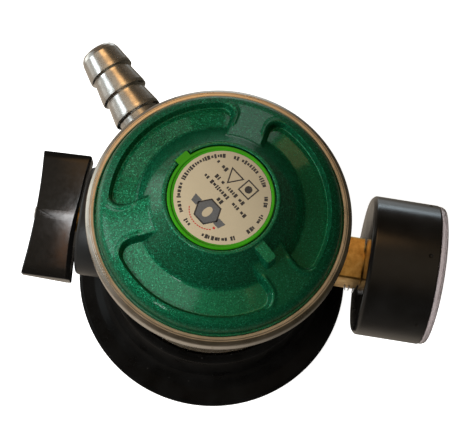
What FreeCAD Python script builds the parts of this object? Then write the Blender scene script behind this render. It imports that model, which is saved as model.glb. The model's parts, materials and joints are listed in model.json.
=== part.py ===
import FreeCAD, Part

import math
import os
from types import SimpleNamespace

import Sketcher

# Clip-on low pressure gas regulator with a shut-off knob, an inlet pressure gauge and a hose nozzle.
# Origin: centre of the coupling's bottom plane. +Z runs up the cylinder valve's axis,
# +X points along the gauge's axis, -X along the knob's axis. Millimetres.

Vector = FreeCAD.Vector
doc = FreeCAD.newDocument("gas_regulator")

# ------------------------------------------------------------------ driving dimensions

DIMENSIONS = {
    # crimp ring and cover
    "ring_radius": 35.0,
    "ring_top": 67.5,
    "ring_bottom": 61.7,
    "lip_radius": 33.8,
    "lip_mouth": 32.4,
    "flange_top": 64.2,
    "boss_radius": 15.2,
    "boss_top": 82.1,
    "pocket_outer": 27.9,
    "pocket_inner": 21.6,
    "spoke_width": 9.6,
    "spoke_count": 3,
    "spoke_azimuth": 79.6,
    "plug_radius": 13.6,
    "plug_azimuth": 142.1,
    "label_radius": 12.3,
    "key_azimuth": 317.1,
    # body
    "axis_height": 39.8,
    "column_radius": 16.0,
    "column_foot": 20.5,
    "bowl_bottom": 55.2,
    "chamber_floor": 57.0,
    "chamber_radius": 28.8,
    "nozzle_height": 44.0,
    "nozzle_azimuth": 130.8,
    "nozzle_tip": 64.6,
    "nozzle_root": 5.85,
    "nozzle_bore": 3.6,
    "barb_count": 3,
    "barb_pitch": 7.35,
    # knob, bonnet and cam
    "bonnet_radius": 15.2,
    "bonnet_face": -37.5,
    "pad_face": -24.0,
    "knob_inner": -38.1,
    "knob_outer": -52.0,
    "knob_length": 35.6,
    "knob_tilt": 4.5,
    "outer_waist": 0.7,
    "inner_waist": 0.9,
    "spindle_radius": 3.5,
    "chamber_bore": 6.9,
    "cam_low": 3.2,
    "pin_lift": 3.0,
    "pin_radius": 1.5,
    "pin_tip": 12.5,
    # coupling
    "collar_radius": 40.7,
    "neck_radius": 31.2,
    "neck_top": 20.8,
    "mouth_radius": 28.8,
    "cage_bore": 17.6,
    "cage_radius": 21.6,
    "ledge_top": 10.0,
    "flange_low": 17.5,
    "ball_radius": 3.0,
    "ball_count": 6,
    "ball_height": 7.0,
    "ball_circle": 19.2,
    "cone_slope": 0.4,
    "seal_face": 13.2,
    "register_low": 10.2,
    "register_top": 12.4,
    # gauge
    "case_radius": 19.6,
    "case_back": 41.3,
    "case_front": 60.0,
    "case_wall": 1.0,
    "lens_front": 62.1,
    "square_width": 12.0,
    "square_end": 40.9,
    "port_face": 27.0,
    "tube_radius": 15.3,
    "gear_module": 0.25,
    "pinion_teeth": 8,
    "sector_teeth": 56,
    "tail_arm": 5.5,
    "link_length": 5.0,
    "tail_middle": -35.0,
    # lever and valve
    "lever_x": -14.0,
    "lever_z": 62.4,
    "valve_z": 58.8,
    "plunger_radius": 1.7,
    # general
    "wire_radius": 0.6,
    "slip": 0.05,
}


class Size:
    """A length that knows its value and the sheet expression that gives it."""

    def __init__(self, value, text):
        self.value = value
        self.text = text

    def __add__(self, other):
        other = as_size(other)
        return Size(self.value + other.value, f"({self.text} + {other.text})")

    def __sub__(self, other):
        other = as_size(other)
        return Size(self.value - other.value, f"({self.text} - {other.text})")

    def __mul__(self, other):
        other = as_size(other)
        return Size(self.value * other.value, f"({self.text} * {other.text})")

    def __radd__(self, other):
        return as_size(other) + self

    def __rsub__(self, other):
        return as_size(other) - self

    def __rmul__(self, other):
        return as_size(other) * self

    def __truediv__(self, other):
        other = as_size(other)
        return Size(self.value / other.value, f"({self.text} / {other.text})")

    def __neg__(self):
        return 0 - self


def as_size(value):
    return value if isinstance(value, Size) else Size(float(value), repr(float(value)))


def number(value):
    return as_size(value).value


def make_sheet():
    """The spreadsheet with one alias for each driving dimension."""
    sheet = doc.addObject("Spreadsheet::Sheet", "Sizes")
    for row, (alias, value) in enumerate(DIMENSIONS.items(), start=1):
        sheet.set(f"A{row}", alias)
        sheet.set(f"B{row}", str(value))
        sheet.setAlias(f"B{row}", alias)
    doc.recompute()
    return sheet


make_sheet()
dim = SimpleNamespace(**{alias: Size(value, "Sizes." + alias) for alias, value in DIMENSIONS.items()})

# ------------------------------------------------------------------ modelling helpers

nodes = {}
ALONG_X = FreeCAD.Rotation(Vector(0, 1, 0), 90)
ALONG_MINUS_X = FreeCAD.Rotation(Vector(0, 1, 0), -90)
ALONG_Y = FreeCAD.Rotation(Vector(1, 0, 0), -90)
UPRIGHT = FreeCAD.Rotation()
OVERRUN = 0.5


def azimuth(angle):
    """Turn about Z that takes +X to the given azimuth."""
    return FreeCAD.Rotation(Vector(0, 0, 1), number(angle))


def node(name, part):
    """Registers a finished sub-part under its node name."""
    part.Label = name
    nodes[name] = part
    return part


def bind(part, prop, value):
    """Binds a property to the sheet, or sets it when it is a bare number."""
    if isinstance(value, Size):
        part.setExpression(prop, value.text)
    else:
        setattr(part, prop, value)


def place(part, base=(0, 0, 0), turn=UPRIGHT):
    part.Placement = FreeCAD.Placement(Vector(*[number(v) for v in base]), turn)
    for letter, value in zip("xyz", base):
        if isinstance(value, Size):
            part.setExpression("Placement.Base." + letter, value.text)
    return part


def origin_plane(body, role):
    return next(item for item in body.Origin.OriginFeatures if item.Role == role)


def outline(body, name, points, role="XZ_Plane"):
    """Closed sketch on an origin plane; each corner's two coordinates are bound to the sheet."""
    sketch = body.newObject("Sketcher::SketchObject", name)
    sketch.AttachmentSupport = [(origin_plane(body, role), "")]
    sketch.MapMode = "FlatFace"
    corners = [Vector(number(u), number(v), 0) for u, v in points]
    count = len(corners)
    for i in range(count):
        sketch.addGeometry(Part.LineSegment(corners[i], corners[(i + 1) % count]))
    for i in range(count):
        sketch.addConstraint(Sketcher.Constraint("Coincident", i, 2, (i + 1) % count, 1))
    for i, pair in enumerate(points):
        for kind, value in zip(("DistanceX", "DistanceY"), pair):
            index = sketch.addConstraint(Sketcher.Constraint(kind, -1, 1, i, 1, number(value)))
            if isinstance(value, Size):
                sketch.setExpression(f"Constraints[{index}]", value.text)
    return sketch


def new_body(name, base=(0, 0, 0), turn=UPRIGHT):
    return place(doc.addObject("PartDesign::Body", name), base, turn)


def turned(name, points, axis="V_Axis", base=(0, 0, 0), turn=UPRIGHT):
    """Body turned from an outline in its XZ plane about the plane's upright or level axis."""
    body = new_body(name, base, turn)
    sketch = outline(body, name + "_outline", points)
    feature = body.newObject("PartDesign::Revolution", name + "_revolution")
    feature.Profile = sketch
    feature.ReferenceAxis = (sketch, [axis])
    feature.Angle = 360
    return body


def padded(name, points, length, role="XY_Plane", base=(0, 0, 0), turn=UPRIGHT):
    """Body padded from an outline on an origin plane."""
    body = new_body(name, base, turn)
    sketch = outline(body, name + "_outline", points, role)
    feature = body.newObject("PartDesign::Pad", name + "_pad")
    feature.Profile = sketch
    bind(feature, "Length", length)
    return body


def cylinder(name, radius, length, base=(0, 0, 0), turn=UPRIGHT):
    part = doc.addObject("Part::Cylinder", name)
    bind(part, "Radius", radius)
    bind(part, "Height", length)
    return place(part, base, turn)


def block(name, low, high):
    """Box between two corners."""
    part = doc.addObject("Part::Box", name)
    for prop, start, end in zip(("Length", "Width", "Height"), low, high):
        bind(part, prop, as_size(end) - as_size(start))
    return place(part, low)


def fuse(name, *parts):
    result = doc.addObject("Part::MultiFuse", name)
    result.Shapes = list(parts)
    result.Refine = True
    return result


def cut(name, base, *tools):
    result = doc.addObject("Part::Cut", name)
    result.Base = base
    result.Tool = tools[0] if len(tools) == 1 else fuse(name + "_tools", *tools)
    result.Refine = True
    return result


def group(name, parts):
    """Separate solids kept together as one node."""
    result = doc.addObject("Part::Compound", name)
    result.Links = list(parts)
    return result


def shaped(name, shape, base=(0, 0, 0), turn=UPRIGHT):
    """Feature whose shape comes from Part's own functions."""
    part = doc.addObject("Part::Feature", name)
    part.Shape = shape
    return place(part, base, turn)


def coil_shape(radius, wire, low, high, turns):
    """Helical wire of round section between two heights."""
    rise = high - low - 2 * wire
    helix = Part.makeHelix(rise / turns, rise, radius)
    helix.translate(Vector(0, 0, low + wire))
    profile = Part.Wire(Part.makeCircle(wire, Vector(radius, 0, low + wire), Vector(0, 1, 0)))
    return Part.Wire(helix.Edges).makePipeShell([profile], True, True)


def ring_points(inner, outer, low, high):
    """Corners of a plain ring's section."""
    return [(inner, low), (outer, low), (outer, high), (inner, high)]


# ------------------------------------------------------------------ cover stack


def make_top_cover():
    """Painted die-cast cover: rolled edge, three shallow pockets, cone and boss."""
    edge = dim.lip_mouth - 0.2
    flange = dim.lip_radius - 0.7
    low = dim.flange_top + 1.0
    top = dim.boss_top
    foot = dim.ring_top
    blank = turned("cover_blank", [
        (flange, low), (flange, low + 1.3), (edge, low + 1.3), (edge, foot + 0.4),
        (edge - 0.3, foot + 1.9), (edge - 1.1, foot + 3.4), (edge - 2.5, foot + 4.7),
        (edge - 4.6, foot + 5.7), (dim.pocket_inner, foot + 7.4),
        (dim.boss_radius + 0.4, top - 1.1), (dim.boss_radius, top - 0.3),
        (dim.boss_radius - 0.4, top), (dim.plug_radius + 0.3, top),
        (dim.plug_radius + 0.3, top - 1.4), (12.2, top - 1.4), (12.2, foot + 5.0),
        (20.0, foot + 3.5), (26.0, foot + 1.6), (28.5, foot - 0.8), (28.5, low),
    ])
    floor_out = foot + 3.3
    floor_in = foot + 5.6
    sweep = turned("pocket_sweep", [
        (dim.pocket_outer, floor_out), (dim.pocket_outer + 1.2, foot + 9.0),
        (dim.pocket_inner, foot + 9.0), (dim.pocket_inner, floor_in),
    ])
    spokes = []
    for index in range(int(dim.spoke_count.value)):
        angle = dim.spoke_azimuth.value + index * 360 / dim.spoke_count.value
        half = dim.spoke_width.value / 2
        start = azimuth(angle).multVec(Vector(10, -half, dim.ring_top.value))
        spoke = doc.addObject("Part::Box", f"spoke_{index + 1}")
        bind(spoke, "Width", dim.spoke_width)
        spoke.Length = 24
        spoke.Height = 12
        spokes.append(place(spoke, tuple(start), azimuth(angle)))
    pockets = cut("pockets", sweep, *spokes)
    notch = block("plug_notch", (0, -2.4, top - 1.0), (dim.boss_radius + 1.5, 2.4, top + 1))
    notch.Placement = FreeCAD.Placement(
        azimuth(dim.plug_azimuth).multVec(Vector(0, -2.4, dim.boss_top.value - 1.0)),
        azimuth(dim.plug_azimuth))
    key = block("cover_key", (14.4, -1.5, foot + 6.0), (21.2, 1.5, top - 0.4))
    key.Placement = FreeCAD.Placement(
        azimuth(dim.key_azimuth).multVec(Vector(14.4, -1.5, dim.ring_top.value + 6.0)),
        azimuth(dim.key_azimuth))
    raised = fuse("cover_with_key", cut("cover_pocketed", blank, pockets), key)
    bore = cylinder("cover_bore_tool", 12.2, 12, (0, 0, foot + 4.0))
    return node("top_cover", cut("top_cover", raised, notch, bore))


def make_cover_parts():
    """Plug and label in the cover's mouth, adjusting screw and main spring below."""
    top = dim.boss_top
    disc = turned("plug_disc", [
        (0, top - 1.35), (10.6, top - 1.35), (10.6, top - 3.0), (12.0, top - 3.0),
        (12.0, top - 1.35), (dim.plug_radius, top - 1.35), (dim.plug_radius, top - 0.15),
        (dim.plug_radius - 0.2, top + 0.05), (dim.label_radius + 0.45, top + 0.05),
        (dim.label_radius + 0.45, top - 0.2), (0, top - 0.2),
    ])
    tab = block("plug_tab", (12.9, -2.2, top - 0.95), (dim.boss_radius + 0.2, 2.2, top + 0.05))
    tab.Placement = FreeCAD.Placement(
        azimuth(dim.plug_azimuth).multVec(Vector(12.9, -2.2, dim.boss_top.value - 0.95)),
        azimuth(dim.plug_azimuth))
    node("cover_plug", fuse("cover_plug", disc, tab))
    node("rating_label", cylinder("rating_label", dim.label_radius, 0.12, (0.3, 0, top - 0.2)))

    screw = turned("screw_blank", [
        (0, top - 6.3), (12.1, top - 6.3), (12.1, top - 3.6), (0, top - 3.6),
    ])
    socket = padded("screw_socket", [
        (5.0 * math.cos(math.radians(60 * i)), 5.0 * math.sin(math.radians(60 * i)))
        for i in range(6)], 2.0, "XY_Plane", (0, 0, top - 5.0))
    node("adjusting_screw", cut("adjusting_screw", screw, socket))

    low = dim.flange_top.value + 1.6 + dim.slip.value
    high = dim.boss_top.value - 6.3 - dim.slip.value
    node("main_spring", shaped("main_spring", coil_shape(9.0, 0.8, low, high, 4.25)))


def make_diaphragm_stack():
    """Rubber diaphragm clamped at its rim, its plate above and its stem below."""
    low = dim.flange_top
    rim = dim.lip_radius - 0.7
    node("diaphragm", turned("diaphragm", [
        (3.0, low + 0.2), (26.0, low + 0.2), (27.0, low - 0.6), (28.2, low - 0.6),
        (28.7, low), (rim, low), (rim, low + 1.0), (28.6, low + 1.0), (27.9, low + 0.1),
        (27.3, low + 0.1), (26.4, low + 0.8), (3.0, low + 0.8),
    ]))
    node("diaphragm_plate", turned("diaphragm_plate", [
        (3.0, low + 0.8), (22.5, low + 0.8), (24.0, low + 1.9), (23.3, low + 2.4),
        (22.0, low + 1.6), (3.0, low + 1.6),
    ]))
    arm = dim.lever_z
    node("diaphragm_stem", turned("diaphragm_stem", [
        (0, arm - 1.6), (2.4, arm - 1.6), (2.4, arm - 0.8), (1.5, arm - 0.8),
        (1.5, arm + 0.8), (2.4, arm + 0.8), (5.0, low - 0.6), (5.0, low + 0.2),
        (3.0, low + 0.2), (3.0, low + 1.6), (4.6, low + 1.6), (4.6, low + 2.3), (0, low + 2.3),
    ]))


def make_crimp_ring():
    """Rolled steel ring that clamps cover, diaphragm and body flange together."""
    top = dim.ring_top
    low = dim.ring_bottom
    out = dim.ring_radius
    seat = dim.flange_top
    lip = top - 0.95
    node("crimp_ring", turned("crimp_ring", [
        (dim.lip_mouth, lip), (dim.lip_mouth, top - 0.2), (dim.lip_mouth + 0.2, top),
        (dim.lip_radius - 0.4, top), (dim.lip_radius - 0.1, top - 0.15),
        (dim.lip_radius, top - 0.4), (dim.lip_radius, top - 1.5), (out - 0.4, top - 1.6),
        (out, top - 2.0), (out, low + 0.6), (out - 0.2, low + 0.2), (out - 0.6, low),
        (31.6, low), (31.6, low + 0.55), (out - 1.0, low + 0.55), (out - 1.0, seat),
        (33.2, seat), (33.2, lip),
    ]))


# ------------------------------------------------------------------ body casting


def nozzle_outline():
    """Half section of the hose nozzle along its own axis, from the body outwards."""
    root = dim.nozzle_root
    pitch = dim.barb_pitch
    first = 42.1
    points = [(8.0, 0), (8.0, 6.6), (30.0, 6.6), (34.0, 6.4), (first - 6.6, root + 0.1)]
    shoulders = (7.05, 6.9, 6.6)
    land = 1.0
    for index in range(int(dim.barb_count.value)):
        crest = first + index * pitch
        points.append((crest - 0.3, root - 0.1 * index))
        points.append((crest, shoulders[index]))
        points.append((crest + land, shoulders[index]))
        points.append((crest + pitch - 1.4, root - 0.1 * index - 0.1))
    points += [(dim.nozzle_tip - 0.6, root - 0.45), (dim.nozzle_tip, root - 1.0),
               (dim.nozzle_tip, 0)]
    return points


def make_regulator_body():
    """Zinc casting: flange, bowl, column, spigot, knob pad, gauge pad and hose nozzle."""
    axis = dim.axis_height
    floor = dim.chamber_floor
    seat = dim.flange_top
    casting = turned("body_casting", [
        (0, dim.seal_face + 2.3), (12.0, dim.seal_face + 2.3), (12.0, dim.column_foot),
        (dim.column_radius, dim.column_foot), (dim.column_radius, dim.bowl_bottom),
        (28.0, dim.bowl_bottom), (31.3, 59.4), (31.3, dim.ring_bottom + 0.6),
        (33.9, dim.ring_bottom + 0.6), (33.9, seat), (dim.chamber_radius, seat),
        (dim.chamber_radius, floor + 3.0), (dim.chamber_radius - 2.2, floor), (0, floor),
    ])
    outlet = azimuth(dim.nozzle_azimuth)
    riser = outlet.multVec(Vector(14.5, 0, 0))
    nozzle = turned("body_nozzle", nozzle_outline(), "H_Axis", (0, 0, dim.nozzle_height), outlet)
    solids = [
        casting, nozzle,
        cylinder("knob_pad", 14.8, -dim.pad_face, (0, 0, axis), ALONG_MINUS_X),
        cylinder("gauge_pad", 9.5, dim.port_face, (0, 0, axis), ALONG_X),
        cylinder("riser_boss", 5.0, dim.bowl_bottom + 1 - dim.nozzle_height,
                 (riser.x, riser.y, dim.nozzle_height)),
        block("orifice_block", (-6.0, -4.0, floor - 1), (3.0, 4.0, floor + 3.6)),
        block("plunger_guide", (-11.5, -3.2, floor - 1), (-9.2, 3.2, floor + 3.8)),
    ]
    for side in (-1, 1):
        low, high = sorted((side * 3.3, side * 5.3))
        solids.append(block(f"lever_post_{side + 2}", (dim.lever_x - 1.4, low, floor - 1),
                            (dim.lever_x + 1.4, high, dim.lever_z + 1.3)))
    bore = dim.chamber_bore
    column = [
        cylinder("cam_chamber", bore, 5.0 - dim.pad_face + OVERRUN,
                 (dim.pad_face - OVERRUN, 0, axis), ALONG_X),
        cylinder("tail_journal", 2.5 + dim.slip, 4.5, (4.5, 0, axis), ALONG_X),
        cylinder("gauge_passage", 1.2, 9.0, (8.5, 0, axis), ALONG_X),
        cylinder("gauge_port", 5.1, 10.5 + OVERRUN, (dim.port_face - 10.5, 0, axis), ALONG_X),
        cylinder("inlet_bore", 5.05, 8.5 + OVERRUN, (0, 0, dim.seal_face + 2.3 - OVERRUN)),
        cylinder("pin_passage", 1.9, 5.0, (0, 0, 23.0)),
        cylinder("spring_bore", 3.4, 8.0, (0, 0, 27.5)),
        cylinder("feed_bore", 1.5, dim.valve_z + 0.6 - 44.0, (0, 0, 44.0)),
        cylinder("orifice_bore", 1.8, 6.0 + OVERRUN, (-6.0 - OVERRUN, 0, dim.valve_z), ALONG_X),
        cylinder("plunger_bore", dim.plunger_radius + dim.slip, 3.4,
                 (-12.0, 0, dim.valve_z), ALONG_X),
        cylinder("lever_pin_bore", 1.0, 12.0, (dim.lever_x, -6.0, dim.lever_z), ALONG_Y),
        cylinder("riser_bore", 2.8, floor + OVERRUN - dim.nozzle_height,
                 (riser.x, riser.y, dim.nozzle_height)),
    ]
    inner = outlet.multVec(Vector(14.5, 0, 0))
    stop = outlet.multVec(Vector(42.0, 0, 0))
    radial = outlet.multiply(ALONG_X)
    column.append(cylinder("outlet_bore", 2.8, 28.0, (inner.x, inner.y, dim.nozzle_height), radial))
    column.append(cylinder("nozzle_mouth", dim.nozzle_bore, dim.nozzle_tip - 42.0 + OVERRUN,
                           (stop.x, stop.y, dim.nozzle_height), radial))
    for index, (y, z) in enumerate(screw_places()):
        column.append(cylinder(f"bonnet_thread_{index + 1}", 1.25, 8.0,
                               (dim.pad_face - OVERRUN, y, axis + z), ALONG_X))
    return node("regulator_body", cut("regulator_body", fuse("body_solids", *solids), *column))


def screw_places():
    """Places of the three bonnet screws about the spindle's axis."""
    circle = 11.0
    return [(circle * math.cos(math.radians(90 + 120 * i)), circle * math.sin(math.radians(90 + 120 * i)))
            for i in range(3)]


# ------------------------------------------------------------------ knob and opening pin


def cam_face(low, rate):
    """Cam section in the YZ plane: a flat follower below it sinks in proportion to the turn."""
    first, last, steps = -6, 96, 17
    points = []
    for index in range(steps + 1):
        turn = math.radians(first + (last - first) * index / steps)
        angle = -math.pi / 2 - turn
        reach = low + rate * turn
        y = reach * math.cos(angle) + rate * math.sin(angle)
        z = reach * math.sin(angle) - rate * math.cos(angle)
        points.append(Vector(0, y, z))
    rise = Part.BSplineCurve()
    rise.interpolate(points)
    back = Part.Arc(points[-1], Vector(0, 0, low * 0.9), points[0])
    return Part.Face(Part.Wire([rise.toShape(), back.toShape()]))


def make_knob_parts():
    """Wing knob, its spindle with the cam, the gland, the bonnet and their fastenings."""
    axis = dim.axis_height
    inner = dim.knob_inner
    outer = dim.knob_outer
    half = dim.knob_length / 2
    tilt = dim.knob_tilt.value
    wing = new_body("knob_wing", (0, 0, axis), FreeCAD.Rotation(Vector(1, 0, 0), tilt))
    sections = []
    for name, x, thick_mid, thick_end in (("inner", inner, 5.6, 4.1), ("outer", outer, 4.2, 2.0)):
        sketch = outline(wing, "knob_" + name, [
            (-half, -thick_end * 0.7), (-half + 1.2, -thick_end), (0, -thick_mid),
            (half - 1.2, -thick_end), (half, -thick_end * 0.7), (half, thick_end * 0.7),
            (half - 1.2, thick_end), (0, thick_mid), (-half + 1.2, thick_end),
            (-half, thick_end * 0.7),
        ], "YZ_Plane")
        sketch.AttachmentOffset = FreeCAD.Placement(Vector(0, 0, x.value), FreeCAD.Rotation())
        sketch.setExpression("AttachmentOffset.Base.z", x.text)
        sections.append(sketch)
    loft = wing.newObject("PartDesign::AdditiveLoft", "knob_loft")
    loft.Profile = sections[0]
    loft.Sections = [sections[1]]
    loft.Ruled = True
    spindle_hole = cylinder("knob_hole", dim.spindle_radius, 9.0 + OVERRUN,
                            (inner + OVERRUN, 0, axis), ALONG_MINUS_X)
    screw_hole = cylinder("knob_screw_hole", 1.6, 14.0, (inner, 0, axis), ALONG_MINUS_X)
    recess = cylinder("knob_recess", 3.0, 2.4 + OVERRUN, (outer + 2.4, 0, axis), ALONG_MINUS_X)
    # both broad ends of the wing are hollowed by large cylinders that leave its tips full
    waists = []
    for name, face, depth, side in (("outer", outer, dim.outer_waist, -1),
                                    ("inner", inner, dim.inner_waist, 1)):
        radius = (half * half + depth * depth) / (depth * 2)
        waists.append(cylinder(f"knob_{name}_waist", radius, 20.0,
                               (face + side * (radius - depth.value), 0, axis - 10)))
    node("knob", cut("knob", wing, spindle_hole, screw_hole, recess, *waists))

    radius = dim.spindle_radius
    shaft = turned("spindle_shaft", [
        (inner - 8.95, 0), (inner - 8.95, radius - 0.5), (inner - 8.45, radius - 0.02),
        (inner, radius - 0.02), (inner, radius), (-14.6, radius), (-14.6, radius - 0.9),
        (-12.6, radius - 0.9), (-12.6, radius), (-9.0, radius), (-9.0, 4.6), (-8.0, 4.6),
        (-8.0, 3.0), (3.2, 3.0), (3.2, 2.5), (8.2, 2.5), (8.2, 0),
    ], "H_Axis", (0, 0, axis))
    rate = dim.pin_lift.value / (math.pi / 2)
    cam = shaped("cam_lobe", cam_face(dim.cam_low.value, rate).extrude(Vector(6.0, 0, 0)),
                 (-3.0, 0, axis))
    thread = cylinder("spindle_thread", 1.2, 6.0 + OVERRUN, (inner - 8.95 - OVERRUN, 0, axis), ALONG_X)
    node("knob_spindle", cut("knob_spindle", fuse("spindle_solid", shaft, cam), thread))
    node("knob_screw", turned("knob_screw", [
        (outer + 0.6, 0), (outer + 0.6, 1.6), (outer + 1.1, 2.6), (outer + 2.4, 2.6),
        (outer + 2.4, 1.2), (inner - 4.5, 1.2), (inner - 4.5, 0),
    ], "H_Axis", (0, 0, axis)))

    face = dim.pad_face
    node("spindle_gland", turned("spindle_gland", [
        (face - 2.0, radius + dim.slip), (face - 2.0, 8.6), (face - 1.6, 9.0), (face, 9.0),
        (face, dim.chamber_bore - dim.slip), (-10.0, dim.chamber_bore - dim.slip),
        (-10.0, radius + dim.slip), (-12.5, radius + dim.slip), (-12.5, 4.0), (-14.7, 4.0),
        (-14.7, radius + dim.slip),
    ], "H_Axis", (0, 0, axis)))
    ring = doc.addObject("Part::Torus", "spindle_o_ring")
    bind(ring, "Radius1", radius - 0.15)
    ring.Radius2 = 0.64
    node("spindle_o_ring", place(ring, (-13.6, 0, axis), ALONG_X))

    bonnet_face = dim.bonnet_face
    bonnet = turned("bonnet_blank", [
        (bonnet_face, radius + dim.slip), (bonnet_face, dim.bonnet_radius - 0.6),
        (bonnet_face + 0.6, dim.bonnet_radius), (face, dim.bonnet_radius), (face, 9.2),
        (face - 2.2, 9.2), (face - 2.2, radius + dim.slip),
    ], "H_Axis", (0, 0, axis))
    holes = []
    screws = []
    for index, (y, z) in enumerate(screw_places()):
        holes.append(cylinder(f"bonnet_hole_{index + 1}", 1.6, 20.0, (-40.0, y, axis + z), ALONG_X))
        holes.append(cylinder(f"bonnet_counterbore_{index + 1}", 2.9, 3.6 + OVERRUN,
                              (bonnet_face - OVERRUN, y, axis + z), ALONG_X))
        head = cylinder(f"bonnet_head_{index + 1}", 2.7, 2.8, (bonnet_face + 0.8, y, axis + z), ALONG_X)
        shank = cylinder(f"bonnet_shank_{index + 1}", 1.25, 16.0, (bonnet_face + 3.6, y, axis + z), ALONG_X)
        hexagon = padded(f"bonnet_key_{index + 1}", [
            (1.3 * math.cos(math.radians(60 * i)), 1.3 * math.sin(math.radians(60 * i)))
            for i in range(6)], 1.6, "XY_Plane", (bonnet_face + 0.5, y, axis + z), ALONG_X)
        bolt = fuse(f"bonnet_bolt_{index + 1}", head, shank)
        screws.append(cut(f"bonnet_screw_{index + 1}", bolt, hexagon))
    node("spindle_bonnet", cut("spindle_bonnet", bonnet, *holes))
    node("bonnet_screws", group("bonnet_screws", screws))


def make_pin_parts():
    """Opening pin pushed down by the cam, its return spring, guide and inlet filter."""
    radius = dim.pin_radius
    head = dim.axis_height - dim.cam_low - 0.02
    node("opening_pin", turned("opening_pin", [
        (0, dim.pin_tip), (radius - 0.4, dim.pin_tip), (radius, dim.pin_tip + 0.5),
        (radius, head - 1.6), (3.0, head - 1.6), (3.0, head), (0, head),
    ]))
    low = 27.5 + dim.slip.value
    high = head.value - 1.6 - dim.slip.value
    node("pin_spring", shaped("pin_spring", coil_shape(2.45, 0.35, low, high, 5)))
    bushing = turned("guide_blank", ring_points(radius + dim.slip, 5.0, 20.0, 24.0))
    ports = [cylinder(f"guide_port_{i + 1}", 0.8, 6.0,
                      (3.2 * math.cos(math.radians(90 * i)), 3.2 * math.sin(math.radians(90 * i)), 19.0))
             for i in range(4)]
    node("pin_guide", cut("pin_guide", bushing, *ports))
    node("inlet_filter", turned("inlet_filter", ring_points(radius + 0.08, 5.0, 16.0, 18.4)))
    seal = dim.seal_face
    node("inlet_seal", turned("inlet_seal", [
        (6.5, seal), (7.0, seal - 0.5), (10.6, seal - 0.5), (11.1, seal), (11.5, seal + 0.3),
        (11.5, seal + 2.3), (6.5, seal + 2.3),
    ]))


# ------------------------------------------------------------------ coupling


def make_coupling():
    """Ball cage on the body's spigot, six balls, the lifting collar, its spring and stop ring."""
    cage = dim.cage_radius
    bore = dim.cage_bore
    low = dim.flange_low
    seal = dim.seal_face
    flange = dim.mouth_radius - 0.3
    blank = turned("cage_blank", [
        (bore + 0.8, 0), (cage - 0.2, 0), (cage - 0.2, 0.3), (cage - 0.6, 0.3), (cage - 0.6, 1.1),
        (cage, 1.1), (cage, low), (flange, low), (flange, dim.column_foot - 0.4),
        (flange - 0.4, dim.column_foot), (12.05, dim.column_foot), (12.05, seal + 2.3),
        (11.6, seal + 2.3), (11.6, seal), (bore + 0.4, seal), (bore + 0.4, dim.register_top),
        (bore, dim.register_top), (bore, dim.register_low), (bore + 0.2, dim.register_low),
        (bore + 0.2, 0.6),
    ])
    holes = []
    balls = []
    for index in range(int(dim.ball_count.value)):
        angle = index * 360 / dim.ball_count.value
        start = azimuth(angle).multVec(Vector(15.5, 0, 0))
        centre = azimuth(angle).multVec(Vector(dim.ball_circle.value, 0, 0))
        holes.append(cylinder(f"ball_hole_{index + 1}", dim.ball_radius + dim.slip, 8.0,
                              (start.x, start.y, dim.ball_height), azimuth(angle).multiply(ALONG_X)))
        ball = doc.addObject("Part::Sphere", f"locking_ball_{index + 1}")
        bind(ball, "Radius", dim.ball_radius)
        balls.append(place(ball, (centre.x, centre.y, dim.ball_height)))
    node("ball_cage", cut("ball_cage", blank, *holes))
    for index, ball in enumerate(balls):
        node(f"locking_ball_{index + 1}", ball)

    rim = dim.collar_radius
    neck = dim.neck_radius
    top = dim.neck_top
    ledge = dim.ledge_top
    slope = dim.cone_slope
    lean = math.sqrt(1 + slope.value ** 2)
    touch = dim.ball_circle + dim.ball_radius * lean + dim.slip
    under = ledge - 1.2
    node("locking_collar", turned("locking_collar", [
        (rim - 3.2, 0), (rim - 0.7, 0), (rim, 0.7), (rim, 2.2), (rim - 0.3, 2.8), (rim - 0.9, 3.1),
        (rim - 4.6, 4.3), (neck + 2.6, 5.7), (neck + 1.6, 6.8), (neck + 1.1, 8.6),
        (neck, top - 1.2), (neck - 0.5, top - 0.3), (neck - 1.2, top), (dim.mouth_radius, top),
        (dim.mouth_radius, ledge), (cage + 0.08, ledge), (cage + 0.08, under),
        (touch + slope * (dim.ball_height - under), under),
        (touch + slope * (dim.ball_height - 2.2), 2.2), (cage + 1.9, 2.2), (cage + 1.9, 1.15),
        (cage + 4.0, 1.15), (cage + 4.0, 2.8), (rim - 4.0, 2.8), (rim - 3.2, 1.8),
    ]))
    node("collar_retainer", turned("collar_retainer", ring_points(cage - 0.55, cage + 2.4, 0.3, 1.1)))
    wire = dim.wire_radius.value
    node("collar_spring", shaped("collar_spring", coil_shape(
        25.4, wire, ledge.value + dim.slip.value, low.value - dim.slip.value, 2.25)))


# ------------------------------------------------------------------ lever and inlet valve


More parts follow.
